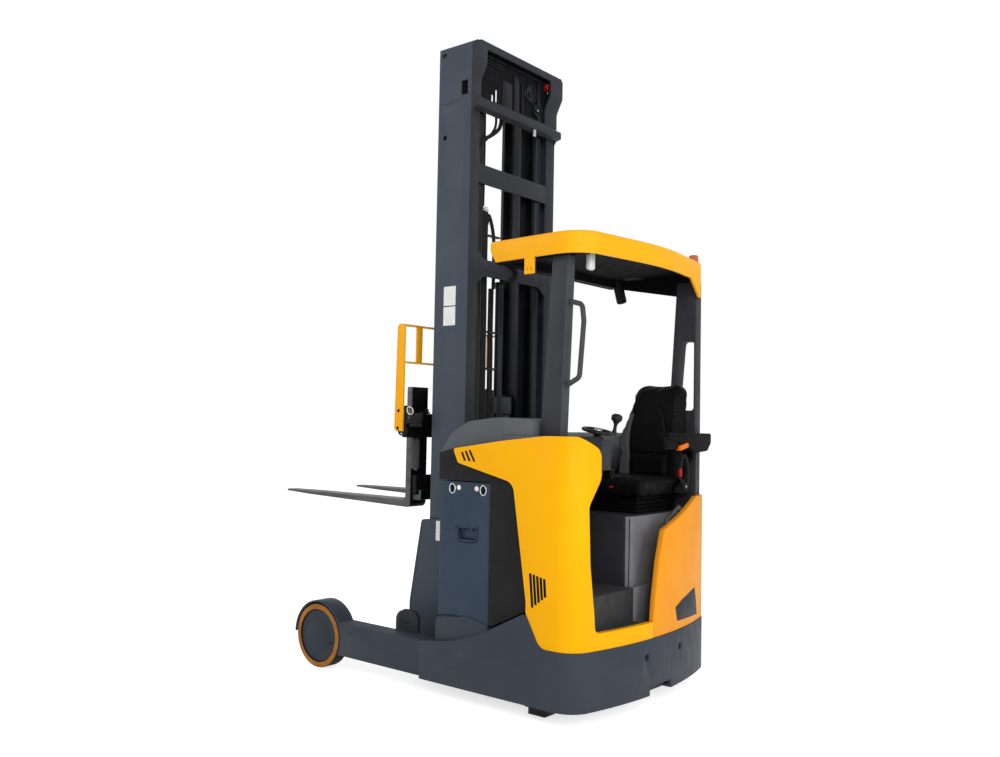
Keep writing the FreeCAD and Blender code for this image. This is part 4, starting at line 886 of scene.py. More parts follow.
def distance_to_line(x, z, line):
    """Distance from a point to a line of points, in the plane of a pad's face."""
    best = math.inf
    for (ax, az), (bx, bz) in zip(line, line[1:]):
        dx, dz = bx - ax, bz - az
        t = max(0.0, min(1.0, ((x - ax) * dx + (z - az) * dz) / (dx * dx + dz * dz)))
        best = min(best, math.hypot(x - ax - t * dx, z - az - t * dz))
    return best


class TRUCK_OT_seat(bpy.types.Operator):
    """Swells and sews the seat cushion and backrest"""

    bl_idname = "truck.seat"
    bl_label = "Seat"

    def execute(self, context):
        depth = context.scene.truck_seat.stitch * 1000
        self.backrest(context, depth)
        self.cushion(context, depth)
        return {"FINISHED"}

    def backrest(self, context, depth):
        low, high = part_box("seat_back")
        floor = low + Vector((-PAD_SPREAD, 0.001, 0.0))
        ceiling = high + Vector((PAD_SPREAD, 0.004, PAD_SPREAD))
        back = swollen(context, "seat_back_pad", "seat_back", floor, ceiling)
        seams = (
            [(196, 1090), (190, 1200), (196, 1300), (216, 1400), (236, 1450)],
            [(420, 1180), (428, 1260), (418, 1350), (398, 1430)],
        )
        facing = [v.normal.y for v in back.data.vertices]
        for v, front in zip(back.data.vertices, facing):
            x, _, z = in_mm(v.co)
            if front > 0.2:
                push = 0.0
                for line in seams:
                    push -= depth * channel(distance_to_line(x, z, line))
                # lumbar roll, and the channel round it
                across, along = abs(x - ROLL_MIDDLE[0]), abs(z - ROLL_MIDDLE[1])
                ring = max(across / ROLL_HALF[0], along / ROLL_HALF[1])
                push += ROLL_RISE * max(0.0, 1.0 - ring**4) - ROLL_SEAM * channel((ring - 1.0) * 60)
                # bolsters that rise towards the sides and fade out below the headrest
                side = max(0.0, (abs(x - BOLSTER_MIDDLE) - BOLSTER_START) / BOLSTER_SLOPE)
                fade = max(0.0, (BOLSTER_TOP - z) / BOLSTER_FADE)
                push += BOLSTER_RISE * min(side, 1.0) * min(fade, 1.0)
                v.co.y = min(v.co.y + push / 1000, high.y + 0.010)
        self.finish(back, "seat_back")
        # the panel beyond the seam, on the mast's side, is the greyer vinyl
        back.data.materials.append(finished("seat_bolster"))
        for face in back.data.polygons:
            x, _, z = in_mm(face.center)
            seam = 424 if z < 1300 else 424 - (z - 1300) * 0.2
            face.material_index = int(x > seam and z < 1420 and face.normal.y > -0.2)

    def cushion(self, context, depth):
        low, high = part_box("seat_cushion")
        floor = low + Vector((-PAD_SPREAD, -0.002, 0.0))
        ceiling = high + Vector((PAD_SPREAD, PAD_SPREAD, PAD_SPREAD))
        seat = swollen(context, "seat_cushion_pad", "seat_cushion", floor, ceiling)
        seams = ([(188, -380), (184, -120), (196, 0)], [(432, -380), (436, -120), (424, 0)])
        facing = [v.normal.z for v in seat.data.vertices]
        for v, top in zip(seat.data.vertices, facing):
            x, y, _ = in_mm(v.co)
            if top > 0.2:
                push = 0.0
                for line in seams:
                    push -= depth * channel(distance_to_line(x, y, line))
                # shallower seam across, between the two
                if 190 < x < 430:
                    push -= depth * 0.6 * channel(y + 120)
                v.co.z = min(v.co.z + push / 1000, high.z + PAD_SPREAD)
        self.finish(seat, "seat_cushion")

    def finish(self, pad, node):
        pad.data.shade_smooth()
        pad.data.materials.clear()
        pad.data.materials.append(finished("seat_trim"))
        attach(pad, "chassis")
        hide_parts(node)


# ---------------------------------------------------------------- steel and covers

# Steel parts, the share of the plain edge radius that rounds them, their finish and their rear faces'.
STEEL = (
    ("chassis_base leg_left leg_right battery_tray reach_carriage", 1, "frame", None),
    ("pillar_left", 1, "post", "handle"),
    ("pillar_rear", 1, "charcoal", None),
    ("roof_frame", 1, "roof_frame", None),
    # the rails' rear faces, the mast head and the cross members take the darker coat: painted shade
    ("outer_rail_left outer_rail_right", 1, "mast_side", "mast_back"),
    ("mast_head mast_cross_bars", 1, "mast_back", None),
    ("battery", 1.5, "battery_case", None),
    ("fork_carriage stabiliser_foot", 1, "black_iron", None),
    ("fork_left fork_right", 1.5, "forks", "black_iron"),
)


class TRUCK_OT_steel(bpy.types.Operator):
    """Rounds the cut edges of the frame's steel plates"""

    bl_idname = "truck.steel"
    bl_label = "Steel edges"

    def execute(self, context):
        edge = context.scene.truck_body.steel_edge
        for nodes, share, finish, rear in STEEL:
            for node in nodes.split():
                refined(node, edge * share, finish, rear=rear)
        return {"FINISHED"}


class TRUCK_OT_covers(bpy.types.Operator):
    """Rounds the moulded covers and adds the painted shade of their louvres, their seams and insert"""

    bl_idname = "truck.covers"
    bl_label = "Covers"

    def execute(self, context):
        edge = context.scene.truck_body.cover_edge
        for node in ("side_panel_left", "side_panel_right"):
            refined(node, edge, "cover")
        # the rear cover's deeper, more orange paint is painted shade
        refined("rear_cover", edge, "rear_cover")
        refined("overhead_guard", edge, "roof")
        refined("load_backrest", 1.5, "roof")
        for node in ("trim_left", "trim_right"):
            refined(node, edge * 0.6, "dark_trim")
        refined("hood", edge, "hood")
        refined("dash_console", edge, "dash", rear="hood", chosen=looks_left)
        # the seat box's rear faces take the pale moulding: painted light against the shade in the cab
        refined("seat_box", edge, "moulding", rear="pale_moulding")
        refined("armrest", edge, "seat_mechanism")
        face = corners("side_panel_left")[1][1]
        # three slits under the cover's top edge, and five that fan out low on it, each a dark plate of
        # painted shade
        with piece("cover_louvre_shade", "gap") as bm:
            for top, low in (
                ((750, 1212), (729, 1168)),
                ((726, 1218), (699, 1167)),
                ((702, 1223), (669, 1166)),
            ):
                louvre(bm, top, low, 13.0, face)
            for step in range(5):
                t = step / 4
                louvre(bm, (322 - 79 * t, 676 - 17 * t), (307 - 71 * t, 521 + 54 * t), 14.0, face)
        # dark moulded insert low on the rear cover, on its own rim
        with piece("rear_cover_insert", "moulding") as bm:
            on_cover(bm, [(-140, 458), (-222, 488), (-412, 524), (-446, 378), (-150, 390)], 2.0)
        # shut line of the sill between the side cover and the rear cover
        with piece("sill_shut_line", "gap") as bm:
            rod(bm, (11, 86, 344), (11, 86, 372), 1.2, round_off=0.3, sides=8)
        return {"FINISHED"}


def on_cover(bm, outline, height):
    """A thin sheet that follows the rear cover's bow inside an outline of (y, z) points."""
    left, right = max(y for y, z in outline), min(y for y, z in outline)
    columns = 14
    strips = []
    for k in range(columns + 1):
        y = left + (right - left) * k / columns
        crossed = []
        for (ya, za), (yb, zb) in zip(outline, outline[1:] + outline[:1]):
            if ya != yb and min(ya, yb) <= y <= max(ya, yb):
                crossed.append(za + (zb - za) * (y - ya) / (yb - ya))
        strips.append([(surface_x("rear_cover", y, z) - height, y, z) for z in (min(crossed), max(crossed))])
    made = [[bm.verts.new(spot(*p)) for p in pair] for pair in strips]
    faces = [bm.faces.new((a[0], b[0], b[1], a[1])) for a, b in zip(made, made[1:])]
    pushed = points_of(bmesh.ops.extrude_face_region(bm, geom=faces)["geom"])
    bmesh.ops.translate(bm, vec=size(height + 2.0, 0, 0), verts=pushed)
    bmesh.ops.recalc_face_normals(bm, faces=bm.faces)
    soften(bm, [e for e in bm.edges if len(e.link_faces) == 2 and e.calc_face_angle(0) > 0.6], 1.0)


def louvre(bm, top, low, width, face):
    """A slanted slit in a side cover as painted shade: a dark plate with square ends, just proud of the
    skin.
    """
    half, slope = width / 2, 2
    (xa, za), (xb, zb) = top, low
    outline = [(xa - half, za), (xa + half, za - slope), (xb + half, zb), (xb - half, zb + slope)]
    plate(bm, at_side(outline, face - 0.6), (0, 1.1, 0), 0.4, 1)


def surface_x(node, y, z):
    """Where the rear skin of a frame part stands at a height and a distance from the centre line."""
    mesh = NODES[node].data
    skin = BVHTree.FromPolygons([v.co for v in mesh.vertices], [p.vertices for p in mesh.polygons])
    place, *_ = skin.ray_cast(Vector((REAR - 0.5, y / 1000, z / 1000)), Vector((1, 0, 0)))
    if place is None:
        raise RuntimeError(f"{node} has no skin at {y}, {z}")
    return in_mm(place)[0]


class TRUCK_OT_battery(bpy.types.Operator):
    """Adds the battery's lifting eyes, blank discs, grips and foot seams"""

    bl_idname = "truck.battery"
    bl_label = "Battery"

    def execute(self, context):
        face = corners("battery")[1][1]
        rims, discs, dark, backs = bmesh.new(), bmesh.new(), bmesh.new(), bmesh.new()
        for side in SIDES:
            for x, inward in ((630, 42), (828, -42)):
                hose(rims, oval(x, side * (face + 0.5), 1030, 19, 24, 12), 3.4, closed=True)
                # a dark plate inside each eye: painted shade of the hole
                plate(dark, oval(x, side * (face - 1.0), 1030, 17, 22, 24), (0, side * 1.6, 0))
                x += inward
                rod(discs, (x, side * (face - 1), 1036), (x, side * (face + 1.6), 1036), 12.5, round_off=0.6)
            # grip: a bent lip in the recess with its two ears
            block(backs, (668, side * face - 24, 792), (784, side * face - 20, 838), 1.0)
            lip = [(664, 852), (664, 800), (672, 782), (774, 778)]
            lip += [(790, 790), (792, 846), (778, 850), (752, 838)]
            hose(backs, at_side(lip, side * (face + 1.5)), 4.0)
            for x, z in ((700, 842), (724, 848)):
                deep, proud = (x, side * (face - 18), z), (x, side * (face + 4), z)
                rod(backs, deep, proud, 8.0, round_off=1.5, sides=16)
            # dark line round the grip's recess: painted shade
            outline = [(660, 856), (660, 796), (668, 776), (778, 772), (796, 786), (797, 852)]
            hose(dark, at_side(outline, side * face), 1.8)
        settle("battery_eye_rims", rims, "zinc", "chassis")
        settle("battery_discs", discs, "blank_plate", "chassis")
        settle("battery_recess_shade", dark, "gap", "chassis")
        settle("battery_grips", backs, "battery_case", "chassis")
        with piece("battery_foot_seam", "gap") as bm:
            for side in SIDES:
                seam = at_side([(850, 414), (760, 414), (680, 400), (590, 382)], side * 608)
                hose(bm, [(904, side * 607.5, 402)] + seam, 1.6)
                rod(bm, (902, side * 606, 398), (902, side * 609, 398), 4.5, round_off=0.4, sides=16)
        return {"FINISHED"}


def oval(x, y, z, wide, tall, count):
    """Points of an oval ring that faces sideways."""
    turns = [k * 2 * math.pi / count for k in range(count)]
    return [(x + wide * math.cos(a), y, z + tall * math.sin(a)) for a in turns]


# ---------------------------------------------------------------- mast and carriage


class TRUCK_OT_mast_outside(bpy.types.Operator):
    """Adds blank plates, weld beads, foot plates and stops to the outer mast"""

    bl_idname = "truck.mast_outside"
    bl_label = "Mast plates and welds"

    def execute(self, context):
        side_face = corners("outer_rail_left")[1][1]
        foot = [(960, 152), (960, 840), (1131, 840), (1204, 832), (1224, 816), (1291, 408)]
        foot += [(1295, 380), (1295, 268), (1280, 244), (1171, 152)]
        stop = [(1128, 250), (1126, 340), (1142, 364), (1168, 374)]
        stop += [(1228, 374), (1256, 356), (1266, 325), (1266, 250)]
        bead = [(1186, 3083), (1150, 3074), (1110, 3070), (1075, 3074), (1046, 3081)]
        plates, beads, darks, feet, stops = (bmesh.new() for _ in range(5))
        for side in SIDES:
            y = side * side_face
            for face, xs, zs in (
                (y, (1040, 1124), (1868, 1968)),
                (y, (1040, 1124), (1974, 2077)),
                (y + 13 * side, (1092, 1132), (728, 832)),
            ):
                side_block(plates, xs, (face - 0.5 * side, face + 1.2 * side), zs, 0.4, 1)
            hose(beads, at_side(bead, y), 2.6)
            # dark patches inside the rail's side near its top and two small discs on the stop: painted shade
            side_block(darks, (1022, 1060), (y - 20 * side, y - 17 * side), (3118, 3180), 1.0)
            for x, z in ((1210, 308), (1187, 311)):
                rod(darks, (x, 519 * side, z), (x, 522 * side, z), 6, round_off=0.4, sides=16)
            # foot plate that makes the rail's side and its gusset one face, in the paler side coat that is
            # painted light against the battery's shadow, and the cast stop above the leg
            plate(feet, at_side(foot, y), (0, 12.8 * side, 0), 0.6, 1)
            plate(stops, at_side(stop, 521 * side), (0, -22 * side, 0), 4)
        settle("blank_plates", plates, "blank_plate", "mast_base")
        settle("mast_weld_beads", beads, "handle", "mast_base")
        settle("mast_side_shade_patches", darks, "gap", "mast_base")
        settle("mast_foot_plates", feet, "mast_side", "mast_base")
        settle("reach_stops", stops, "horn", "mast_base")
        return {"FINISHED"}


class TRUCK_OT_mast_head(bpy.types.Operator):
    """Closes the mast head behind its window with sheets of painted shade and adds the sheaves"""

    bl_idname = "truck.mast_head"
    bl_label = "Mast head"

    def execute(self, context):
        # sheets that close the head behind its window, with two narrow slits between them: dark sheets of
        # painted shade
        with piece("mast_head_shade_sheets", "gap", "mast_base") as bm:
            for y0, y1, z0, z1 in (
                (-350, 164, 3066, 3379),
                (164, 352, 3175, 3379),
                (178, 196, 3066, 3175),
                (211, 352, 3066, 3175),
                (164, 178, 3066, 3108),
                (196, 211, 3066, 3102),
                (196, 211, 3139, 3175),
            ):
                block(bm, (958, y0, z0), (963, y1, z1), 0.8, 1)
        with piece("mast_head_ribs", "mast_inside", "mast_base") as bm:
            for x, y0, y1, z0, z1, radius in (
                (950, -22, 25, 3076, 3300, 2),
                (948, -218, -193, 3090, 3330, 2),
                (954, 34, 122, 3082, 3244, 2),
                (950, 111, 252, 3296, 3304, 2),
                (950, 118, 252, 3312, 3320, 2),
                (946, -350, 300, 3330, 3344, 3),
                (950, -60, -48, 3076, 3270, 2),
            ):
                block(bm, (x, y0, z0), (957, y1, z1), radius)
        with piece("mast_head_sheaves", "mast_inside", "mast_base") as bm:
            for y, z, r in ((-125, 3234, 48), (-184, 3152, 34)):
                hub, web = r * 0.34, r * 0.42
                profile = [(0, 946), (hub, 946), (hub, 942), (web, 942), (web, 948), (r * 0.84, 949)]
                profile += [(r * 0.9, 942), (r, 942), (r, 946), (r * 0.93, 950)]
                profile += [(r, 954), (r, 957.5), (0, 957.5)]
                turned(bm, profile, (0, y, z), (1, 0, 0), steps=32)
        with piece("mast_head_pins", "zinc", "mast_base") as bm:
            rod(bm, (936, -184, 3152), (946, -184, 3152), 6)
            rod(bm, (950, -291, 3280), (950, -291, 3296), 3, sides=12)
            block(bm, (914, -138, 2984), (919, -116, 3024), 1.5)
        with piece("mast_head_cap", "red", "mast_base") as bm:
            profile = [(0, 932), (15, 933), (20, 938), (23, 944), (23, 957), (0, 957)]
            turned(bm, profile, (0, -287, 3320), (1, 0, 0), steps=24)
        return {"FINISHED"}


# Hoses that bend across the mast, as points and a radius: the loop over the pipes, two leads to the head,
# two flexible tails up to the sheave's side, and the lead from the free-lift cylinder.
MAST_HOSES = (
    (
        [(1012, 165, 2440), (1012, 158, 2500), (1010, 140, 2480)]
        + [(1008, 112, 2400), (1008, 103, 2300), (1010, 103, 2090)],
        10,
    ),
    ([(1010, 226, 3050), (1010, 212, 2900), (1010, 214, 2500)], 7),
    ([(1010, 200, 3050), (1010, 196, 2900), (1010, 200, 2500)], 5),
    (
        [(984, 330, 2782), (976, 318, 2830), (966, 296, 2862), (964, 240, 2892)]
        + [(964, 170, 2936), (968, 112, 2986), (984, 90, 3050)],
        11,
    ),
    (
        [(984, 334, 2760), (974, 300, 2832), (966, 250, 2874)]
        + [(966, 190, 2930), (968, 150, 2990), (984, 140, 3050)],
        7,
    ),
    (
        [(1000, 96, 2262), (950, 92, 2240), (944, 50, 2232), (944, 0, 2215)]
        + [(946, -26, 2190), (948, -14, 2156), (960, 30, 2142), (1000, 60, 2136)],
        13,
    ),
)


class TRUCK_OT_mast_hoses(bpy.types.Operator):
    """Runs the hydraulic hoses and their clamps down the inside of the mast"""

    bl_idname = "truck.mast_hoses"
    bl_label = "Mast hoses"

    def execute(self, context):
        tall = ((222, 2506), (197, 2510), (173, 2508))
        with piece("mast_hoses", "hose", "mast_base") as bm:
            for (y, top), radius in zip(tall + ((131, 2090), (111, 2090)), (11, 12, 11, 9, 9)):
                down = [(1010, y, top), (1012, y, top - 300), (1008, y, 1800), (1010, y - 1, 1180)]
                hose(bm, down, radius)
            for points, radius in MAST_HOSES:
                hose(bm, points, radius)
        with piece("mast_free_cylinder", "mast_inside", "mast_base") as bm:
            rod(bm, (1014, 42, 1190), (1014, 42, 2120), 23, round_off=4)
            rod(bm, (1014, 42, 2100), (1014, 42, 2136), 26, round_off=3)
            for z in (1850, 1650, 2380):
                block(bm, (1000, 60, z - 5), (1024, 236, z + 5))
        with piece("mast_hose_unions", "zinc", "mast_base") as bm:
            for y, z in tall:
                rod(bm, (1010, y, z - 12), (1010, y, z + 14), 11, round_off=1.5, sides=6)
                rod(bm, (1010, y, z + 10), (1010, y, z + 26), 8, round_off=1.5)
            for y, z in ((214, 3040), (198, 3046)):
                rod(bm, (1010, y, z), (1010, y, z + 28), 8, round_off=1.5, sides=6)
        with piece("mast_valve_box", "moulding", "mast_base") as bm:
            block(bm, (1000, -66, 1404), (1034, 92, 1500), 5)
            block(bm, (996, -40, 1384), (1010, 60, 1398))
        return {"FINISHED"}


class TRUCK_OT_carriage(bpy.types.Operator):
    """Adds the bolts, brackets and latches of the fork carriage"""

    bl_idname = "truck.carriage"
    bl_label = "Fork carriage"

    def execute(self, context):
        bar = corners("fork_carriage")[1][1]
        bent_rod = [(1382, 1306), (1376, 1284), (1352, 1279), (1316, 1286), (1308, 1316)]
        ring = [(1314, 1426), (1304, 1434), (1276, 1428), (1268, 1410)]
        ring += [(1270, 1394), (1292, 1392), (1312, 1402)]
        black, bright = bmesh.new(), bmesh.new()
        for side in SIDES:
            for x, z in ((1384, 1412), (1388, 1317)):
                bolt(black, (x, side * (bar + 10), z), (0, side, 0), 6.0, 5.0)
            # latch plate, its locking pin and the bent rod below
            side_block(black, (1206, 1300), (side * bar, side * (bar + 10)), (1325, 1400), 6)
            pin = side * (bar + 8)
            rod(black, (1316, pin, 1354), (1206, pin, 1357), 13, round_off=4)
            hose(black, at_side(bent_rod, pin), 5)
            hose(bright, at_side(ring, side * (bar + 14)), 3.2, closed=True)
        settle("carriage_brackets", black, "black_iron", "carriage")
        settle("carriage_rings", bright, "zinc", "carriage")
        for name, out in (("left", 1), ("right", -1)):
            body, middle = "fork_" + name[0], out * 288
            # latch on the fork's hook: pin, foot and lever
            with piece("fork_latch_" + name, "black_iron", body) as bm:
                rod(bm, (1318, middle, 1398), (1318, middle, 1424), 11, round_off=3)
                block(bm, (1308, middle - 22, 1398), (1330, middle + 22, 1407), 3)
                rod(bm, (1340, middle + out * 30, 1400), (1318, middle - out * 20, 1416), 5, round_off=2)
            # rail on the back of the shank, on its small foot, in a mid grey that is painted light against
            # the mast's shade
            near, far = sorted((middle + out * 2, middle + out * 61))
            with piece("fork_back_rail_" + name, "fork_heel", body) as bm:
                block(bm, (1362, near, 1095), (1368, far, 1290))
                block(bm, (1356, near + 16, 1084), (1368, far - 20, 1104), 3)
        return {"FINISHED"}


class TRUCK_OT_wheels(bpy.types.Operator):
    """Adds the front wheels' grooves and faces, the painted shade of their treads and of a notch in each
    disc
    """

    bl_idname = "truck.wheels"
    bl_label = "Wheels"

    def execute(self, context):
        groove = [(134, -3), (134, 0.8), (136, 2.2), (140, 2.2), (142, 0.8), (142, -3), (134, -3)]
        dish = [(0, 1.6), (94, 1.6), (98, 0.8), (100, -2), (0, -2)]
        for name, side in (("left", 1), ("right", -1)):
            # the tread faces take the black tyre rubber: painted shade for the shadow on the tread
            refined("load_tyre_" + name, 3, "load_tyre", rear="drive_tyre", chosen=is_tread)
            (x0, y0, z0), (x1, y1, z1) = corners("load_disc_" + name)
            face = y1 if side > 0 else -y0
            x, z = (x0 + x1) / 2, (z0 + z1) / 2
            body = "load_wheel_" + name
            for part, finish, profile, steps in (
                ("wheel_groove_", "black_iron", groove, 72),
                ("wheel_face_", "wheel_disc", dish, 64),
            ):
                placed = [(r, side * (face + h)) for r, h in profile]
                with piece(part + name, finish, body) as bm:
                    turned(bm, placed, (x, 0, z), (0, 1, 0), steps=steps)
            ys = side * (face - 1), side * (face + 3)
            # dark block in a notch of the disc: painted shade
            with piece("wheel_notch_shade_" + name, "gap", body) as bm:
                side_block(bm, (x - 114, x - 94), ys, (z - 30, z - 23), 0.8)
        return {"FINISHED"}


# ---------------------------------------------------------------- cab


class TRUCK_OT_roof(bpy.types.Operator):
    """Adds the guard's lamp lens, beacon, cable cover and camera glass"""

    bl_idname = "truck.roof"
    bl_label = "Roof fittings"

    def execute(self, context):
        upright = (0, 0, 1)
        (x0, y0, z0), (x1, y1, z1) = corners("cab_lamp")
        with piece("cab_lamp_lens", "lamp", angle=60, replaces="cab_lamp") as bm:
            block(bm, (x0 + 4, y0 + 3, z0), (x1 - 4, y1 - 3, z1), 13, 4)
        with piece("cab_lamp_holder", "controls") as bm:
            block(bm, (x0 + 4, y0 - 4, z1 - 12), (x1 - 4, y1 + 4, z1), 3)

        (x0, y0, z0), (x1, y1, z1) = corners("rear_beacon")
        x, y, r = (x0 + x1) / 2, (y0 + y1) / 2, (x1 - x0) / 2
        with piece("beacon_dome", "beacon_lens", angle=60, replaces="rear_beacon") as bm:
            profile = [(0, z1), (r * 0.5, z1 - 0.6), (r * 0.8, z1 - 3), (r * 0.92, z1 - 8)]
            profile += [(r * 0.94, z0 + 5), (0, z0 + 5)]
            turned(bm, profile, (x, y, 0), upright, steps=36)
        with piece("beacon_base", "dark_trim") as bm:
            turned(bm, [(0, z0 + 6), (r, z0 + 6), (r, z0), (0, z0)], (x, y, 0), upright, steps=36)

        # round cable cover in the roof sheet
        with piece("roof_underside_parts", "dark_trim") as bm:
            profile = [(64, 2175.5), (64, 2171), (60, 2169), (20, 2168)]
            profile += [(0, 2168), (0, 2175.5), (64, 2175.5)]
            turned(bm, profile, (450, -452, 0), upright)
        with piece("camera_glass", "gap") as bm:
            profile = [(0, 7), (22, 6), (25, 0), (25, -5), (19, -7), (0, -7)]
            turned(bm, profile, (562, -513, 2056), (-30, -16, -144), steps=28)
        return {"FINISHED"}


class TRUCK_OT_dash(bpy.types.Operator):
    """Models the hand wheel, the lever boots and the dash's details"""

    bl_idname = "truck.dash"
    bl_label = "Hand wheel and dash"

    def execute(self, context):
        self.hand_wheel()
        with piece("lever_boots", "hose") as bm:
            for x in (462, 486, 510):
                for k in range(4):
                    fold = [(0, 0), (15 - 2 * k, 0), (16.5 - 2 * k, 4), (13 - 2 * k, 8), (0, 8)]
                    turned(bm, fold, (x, 280, 1303 + 7 * k), (0, 0, 1), steps=20)
        # instrument pod with a plain dark window, keys and the paler face of the dash's nose
        with piece("dash_window", "gap") as bm:
            block(bm, (300, 400, 1299), (400, 500, 1308), 3)
            block(bm, (420, 470, 1299), (470, 560, 1305))
        with piece("dash_keys", "controls") as bm:
            for y in (410, 432, 454):
                rod(bm, (432, y, 1299), (432, y, 1306), 7, round_off=1.5)
        with piece("dash_face_panel", "step") as bm:
            block(bm, (148.2, 236, 1140), (150.5, 326, 1284), 1.0)
        return {"FINISHED"}

    def hand_wheel(self):
        # rim radius, thickness of the rim's tube, and distance of the knob's pin from the middle
        ring, tube, pin = 70, 9, 78
        lean = Vector((-0.2011, 0, 0.9796))
        across = Vector((0.9796, 0, 0.2011))
        middle = Vector((190, 290, 1325))

        def place(degrees, out, height):
            a = math.radians(degrees)
            shift = across * (out * math.cos(a)) + Vector((0, out * math.sin(a), 0))
            return tuple(middle + shift + lean * height)

        body = "hand_wheel"
        with piece("hand_wheel_moulded", "controls", body, angle=50, replaces="steering_wheel") as bm:
            turns = [k * math.pi / 8 for k in range(17)]
            rim = [(ring + tube * math.cos(a), tube * 0.9 * math.sin(a)) for a in turns]
            turned(bm, rim, middle, lean, steps=56)
            hub = [(0, 9), (16, 8), (24, 3), (26, -4), (22, -12), (15, -26), (0, -26)]
            turned(bm, hub, middle, lean, steps=32)
            for spoke in (42, 162, 282):
                hose(bm, [place(spoke, 14, -2), place(spoke, 34, -6), place(spoke, ring, 0)], 7.5)
            knob = [(0, -4), (13, -4), (14, 6), (10, 16), (8, 30), (9, 46), (17, 60), (26, 68)]
            knob += [(27.5, 80), (24, 91), (12, 97), (0, 98)]
            turned(bm, knob, place(222, pin, 0), lean, steps=28)
        with piece("hand_wheel_trim_ring", "zinc", body) as bm:
            turned(bm, [(17, 7.2), (17, 10), (19, 10), (19.6, 6.4), (17, 7.2)], middle, lean, steps=32)


class TRUCK_OT_seat_fittings(bpy.types.Operator):
    """Adds the seat's bellows, armrest switch, belt, release knob and side plates"""

    bl_idname = "truck.seat_fittings"
    bl_label = "Seat fittings"

    def execute(self, context):
        # rounded bellows between the seat box and the cushion
        (x0, y0, z0), (x1, y1, z1) = corners("seat_base")
        fold = (z1 - z0) / 4
        with piece("seat_bellows", "seat_mechanism", angle=50, replaces="seat_base") as bm:
            for k in range(4):
                inset = 6 * (k % 2)
                low = (x0 + inset, y0 + inset, z0 + k * fold)
                block(bm, low, (x1 - inset, y1 - inset, z0 + (k + 1) * fold - 2), fold * 0.32, 3)
            block(bm, (x0 + 12, y0 + 12, z0 + 1), (x1 - 12, y1 - 12, z1 - 1), 1)
        with piece("armrest_switch", "orange") as bm:
            tilt = Matrix.Rotation(math.radians(-12), 4, "X")
            block(bm, (27, -322, 1239), (62, -236, 1264), 7, 3, turn=tilt)
        with piece("armrest_shell", "seat_mechanism") as bm:
            block(bm, (44, -300, 1238), (80, -100, 1308), 9, 3)
        # dark bracket between cushion and dash
        with piece("seat_side_bracket", "seat_mechanism") as bm:
            block(bm, (150, 196, 1096), (330, 232, 1140), 8, 3)
        with piece("belt_buckle", "red") as bm:
            block(bm, (62, -318, 1094), (76, -294, 1138), 4, 3)
        # switch cable, and the belt in its stiff sleeve, looped from the buckle to the anchor
        with piece("belt_and_cable", "hose") as bm:
            hose(bm, [(64, -292, 1240), (66, -300, 1214), (64, -312, 1196), (66, -322, 1170)], 2.6)
            loop = [(76, -304, 1100), (74, -318, 1080), (70, -340, 1058), (66, -352, 1044)]
            loop += [(64, -372, 1060), (64, -382, 1110), (66, -374, 1168), (70, -356, 1204)]
            loop += [(72, -334, 1206), (72, -322, 1180), (72, -316, 1140)]
            hose(bm, loop, 9)
            block(bm, (58, -372, 1026), (74, -328, 1062), 6, 3)
        with piece("belt_anchor_bolt", "zinc") as bm:
            bolt(bm, (60, -350, 1044), (-1, 0, 0), 6, 5)
        with piece("seat_release_knob", "red") as bm:
            rod(bm, (300, -26, 1044), (300, 4, 1040), 5, end_radius=6, round_off=2)
        # side plates of the recliner between cushion and backrest
        with piece("recliner_plates", "seat_mechanism") as bm:
            outline = [(-470, 1000), (-390, 1002), (-300, 1014), (-300, 1040), (-384, 1080), (-470, 1180)]
            for x, push, radius in ((98, -7, 3), (519, 3, 1.4)):
                plate(bm, [(x, y, z) for y, z in outline], (push, 0, 0), radius)
        # upright cover strip beside the rear pillar
        with piece("pillar_strip", "handle") as bm:
            block(bm, (80, -512, 985), (87.5, -500, 1205))
        return {"FINISHED"}


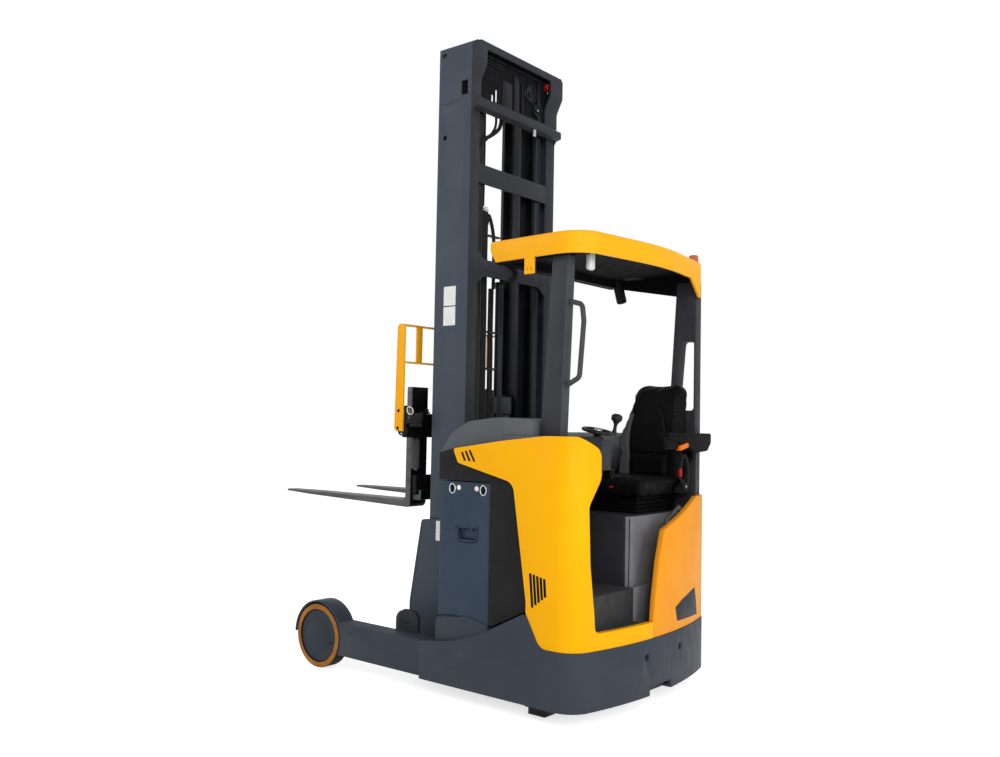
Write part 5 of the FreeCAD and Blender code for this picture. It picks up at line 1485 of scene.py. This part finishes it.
class TRUCK_OT_floor(bpy.types.Operator):
    """Lays the pedal pads' ribs and the riser of the step"""

    bl_idname = "truck.floor"
    bl_label = "Floor and pedals"

    def execute(self, context):
        top = corners("pedals")[1][2]
        with piece("pedal_ribs", "hose", slot="floor_mat") as bm:
            for x in (212, 342, 452):
                for y in range(434, 534, 20):
                    block(bm, (x, y, top - 1), (x + 56, y + 10, top + 2.5), 1.2)
        # riser of the step beside the rear cover, in the pale moulding that is painted light against the
        # shade in the cab
        with piece("step_riser", "pale_moulding") as bm:
            block(bm, (99, -92, 382), (120, 98, 572), 5, 3)
        return {"FINISHED"}


# ---------------------------------------------------------------- running order

CLASSES = [
    TruckStageSettings,
    TruckSeatSettings,
    TruckBodySettings,
    TRUCK_OT_stage,
    TRUCK_OT_finishes,
    TRUCK_OT_steel,
    TRUCK_OT_covers,
    TRUCK_OT_battery,
    TRUCK_OT_mast_outside,
    TRUCK_OT_mast_head,
    TRUCK_OT_mast_hoses,
    TRUCK_OT_carriage,
    TRUCK_OT_wheels,
    TRUCK_OT_roof,
    TRUCK_OT_dash,
    TRUCK_OT_seat,
    TRUCK_OT_seat_fittings,
    TRUCK_OT_floor,
]
STEPS = [c for c in CLASSES if issubclass(c, bpy.types.Operator)]


class TRUCK_PT_sidebar(bpy.types.Panel):
    """Lists the truck's settings and steps"""

    bl_idname = "TRUCK_PT_sidebar"
    bl_label = "Reach truck"
    bl_space_type = "VIEW_3D"
    bl_region_type = "UI"
    bl_category = "Truck"

    def draw(self, context):
        for settings in (context.scene.truck_stage, context.scene.truck_seat, context.scene.truck_body):
            box = self.layout.box()
            for key in settings.__annotations__:
                box.prop(settings, key)
        for step in STEPS:
            self.layout.operator(step.bl_idname)


def register():
    for c in CLASSES + [TRUCK_PT_sidebar]:
        bpy.utils.register_class(c)
    bpy.types.Scene.truck_stage = bpy.props.PointerProperty(type=TruckStageSettings)
    bpy.types.Scene.truck_seat = bpy.props.PointerProperty(type=TruckSeatSettings)
    bpy.types.Scene.truck_body = bpy.props.PointerProperty(type=TruckBodySettings)


def unregister():
    del bpy.types.Scene.truck_body
    del bpy.types.Scene.truck_seat
    del bpy.types.Scene.truck_stage
    for c in reversed(CLASSES + [TRUCK_PT_sidebar]):
        bpy.utils.unregister_class(c)


def main():
    register()
    for step in STEPS:
        group, name = step.bl_idname.split(".")
        getattr(getattr(bpy.ops, group), name)()


if __name__ == "__main__":
    main()
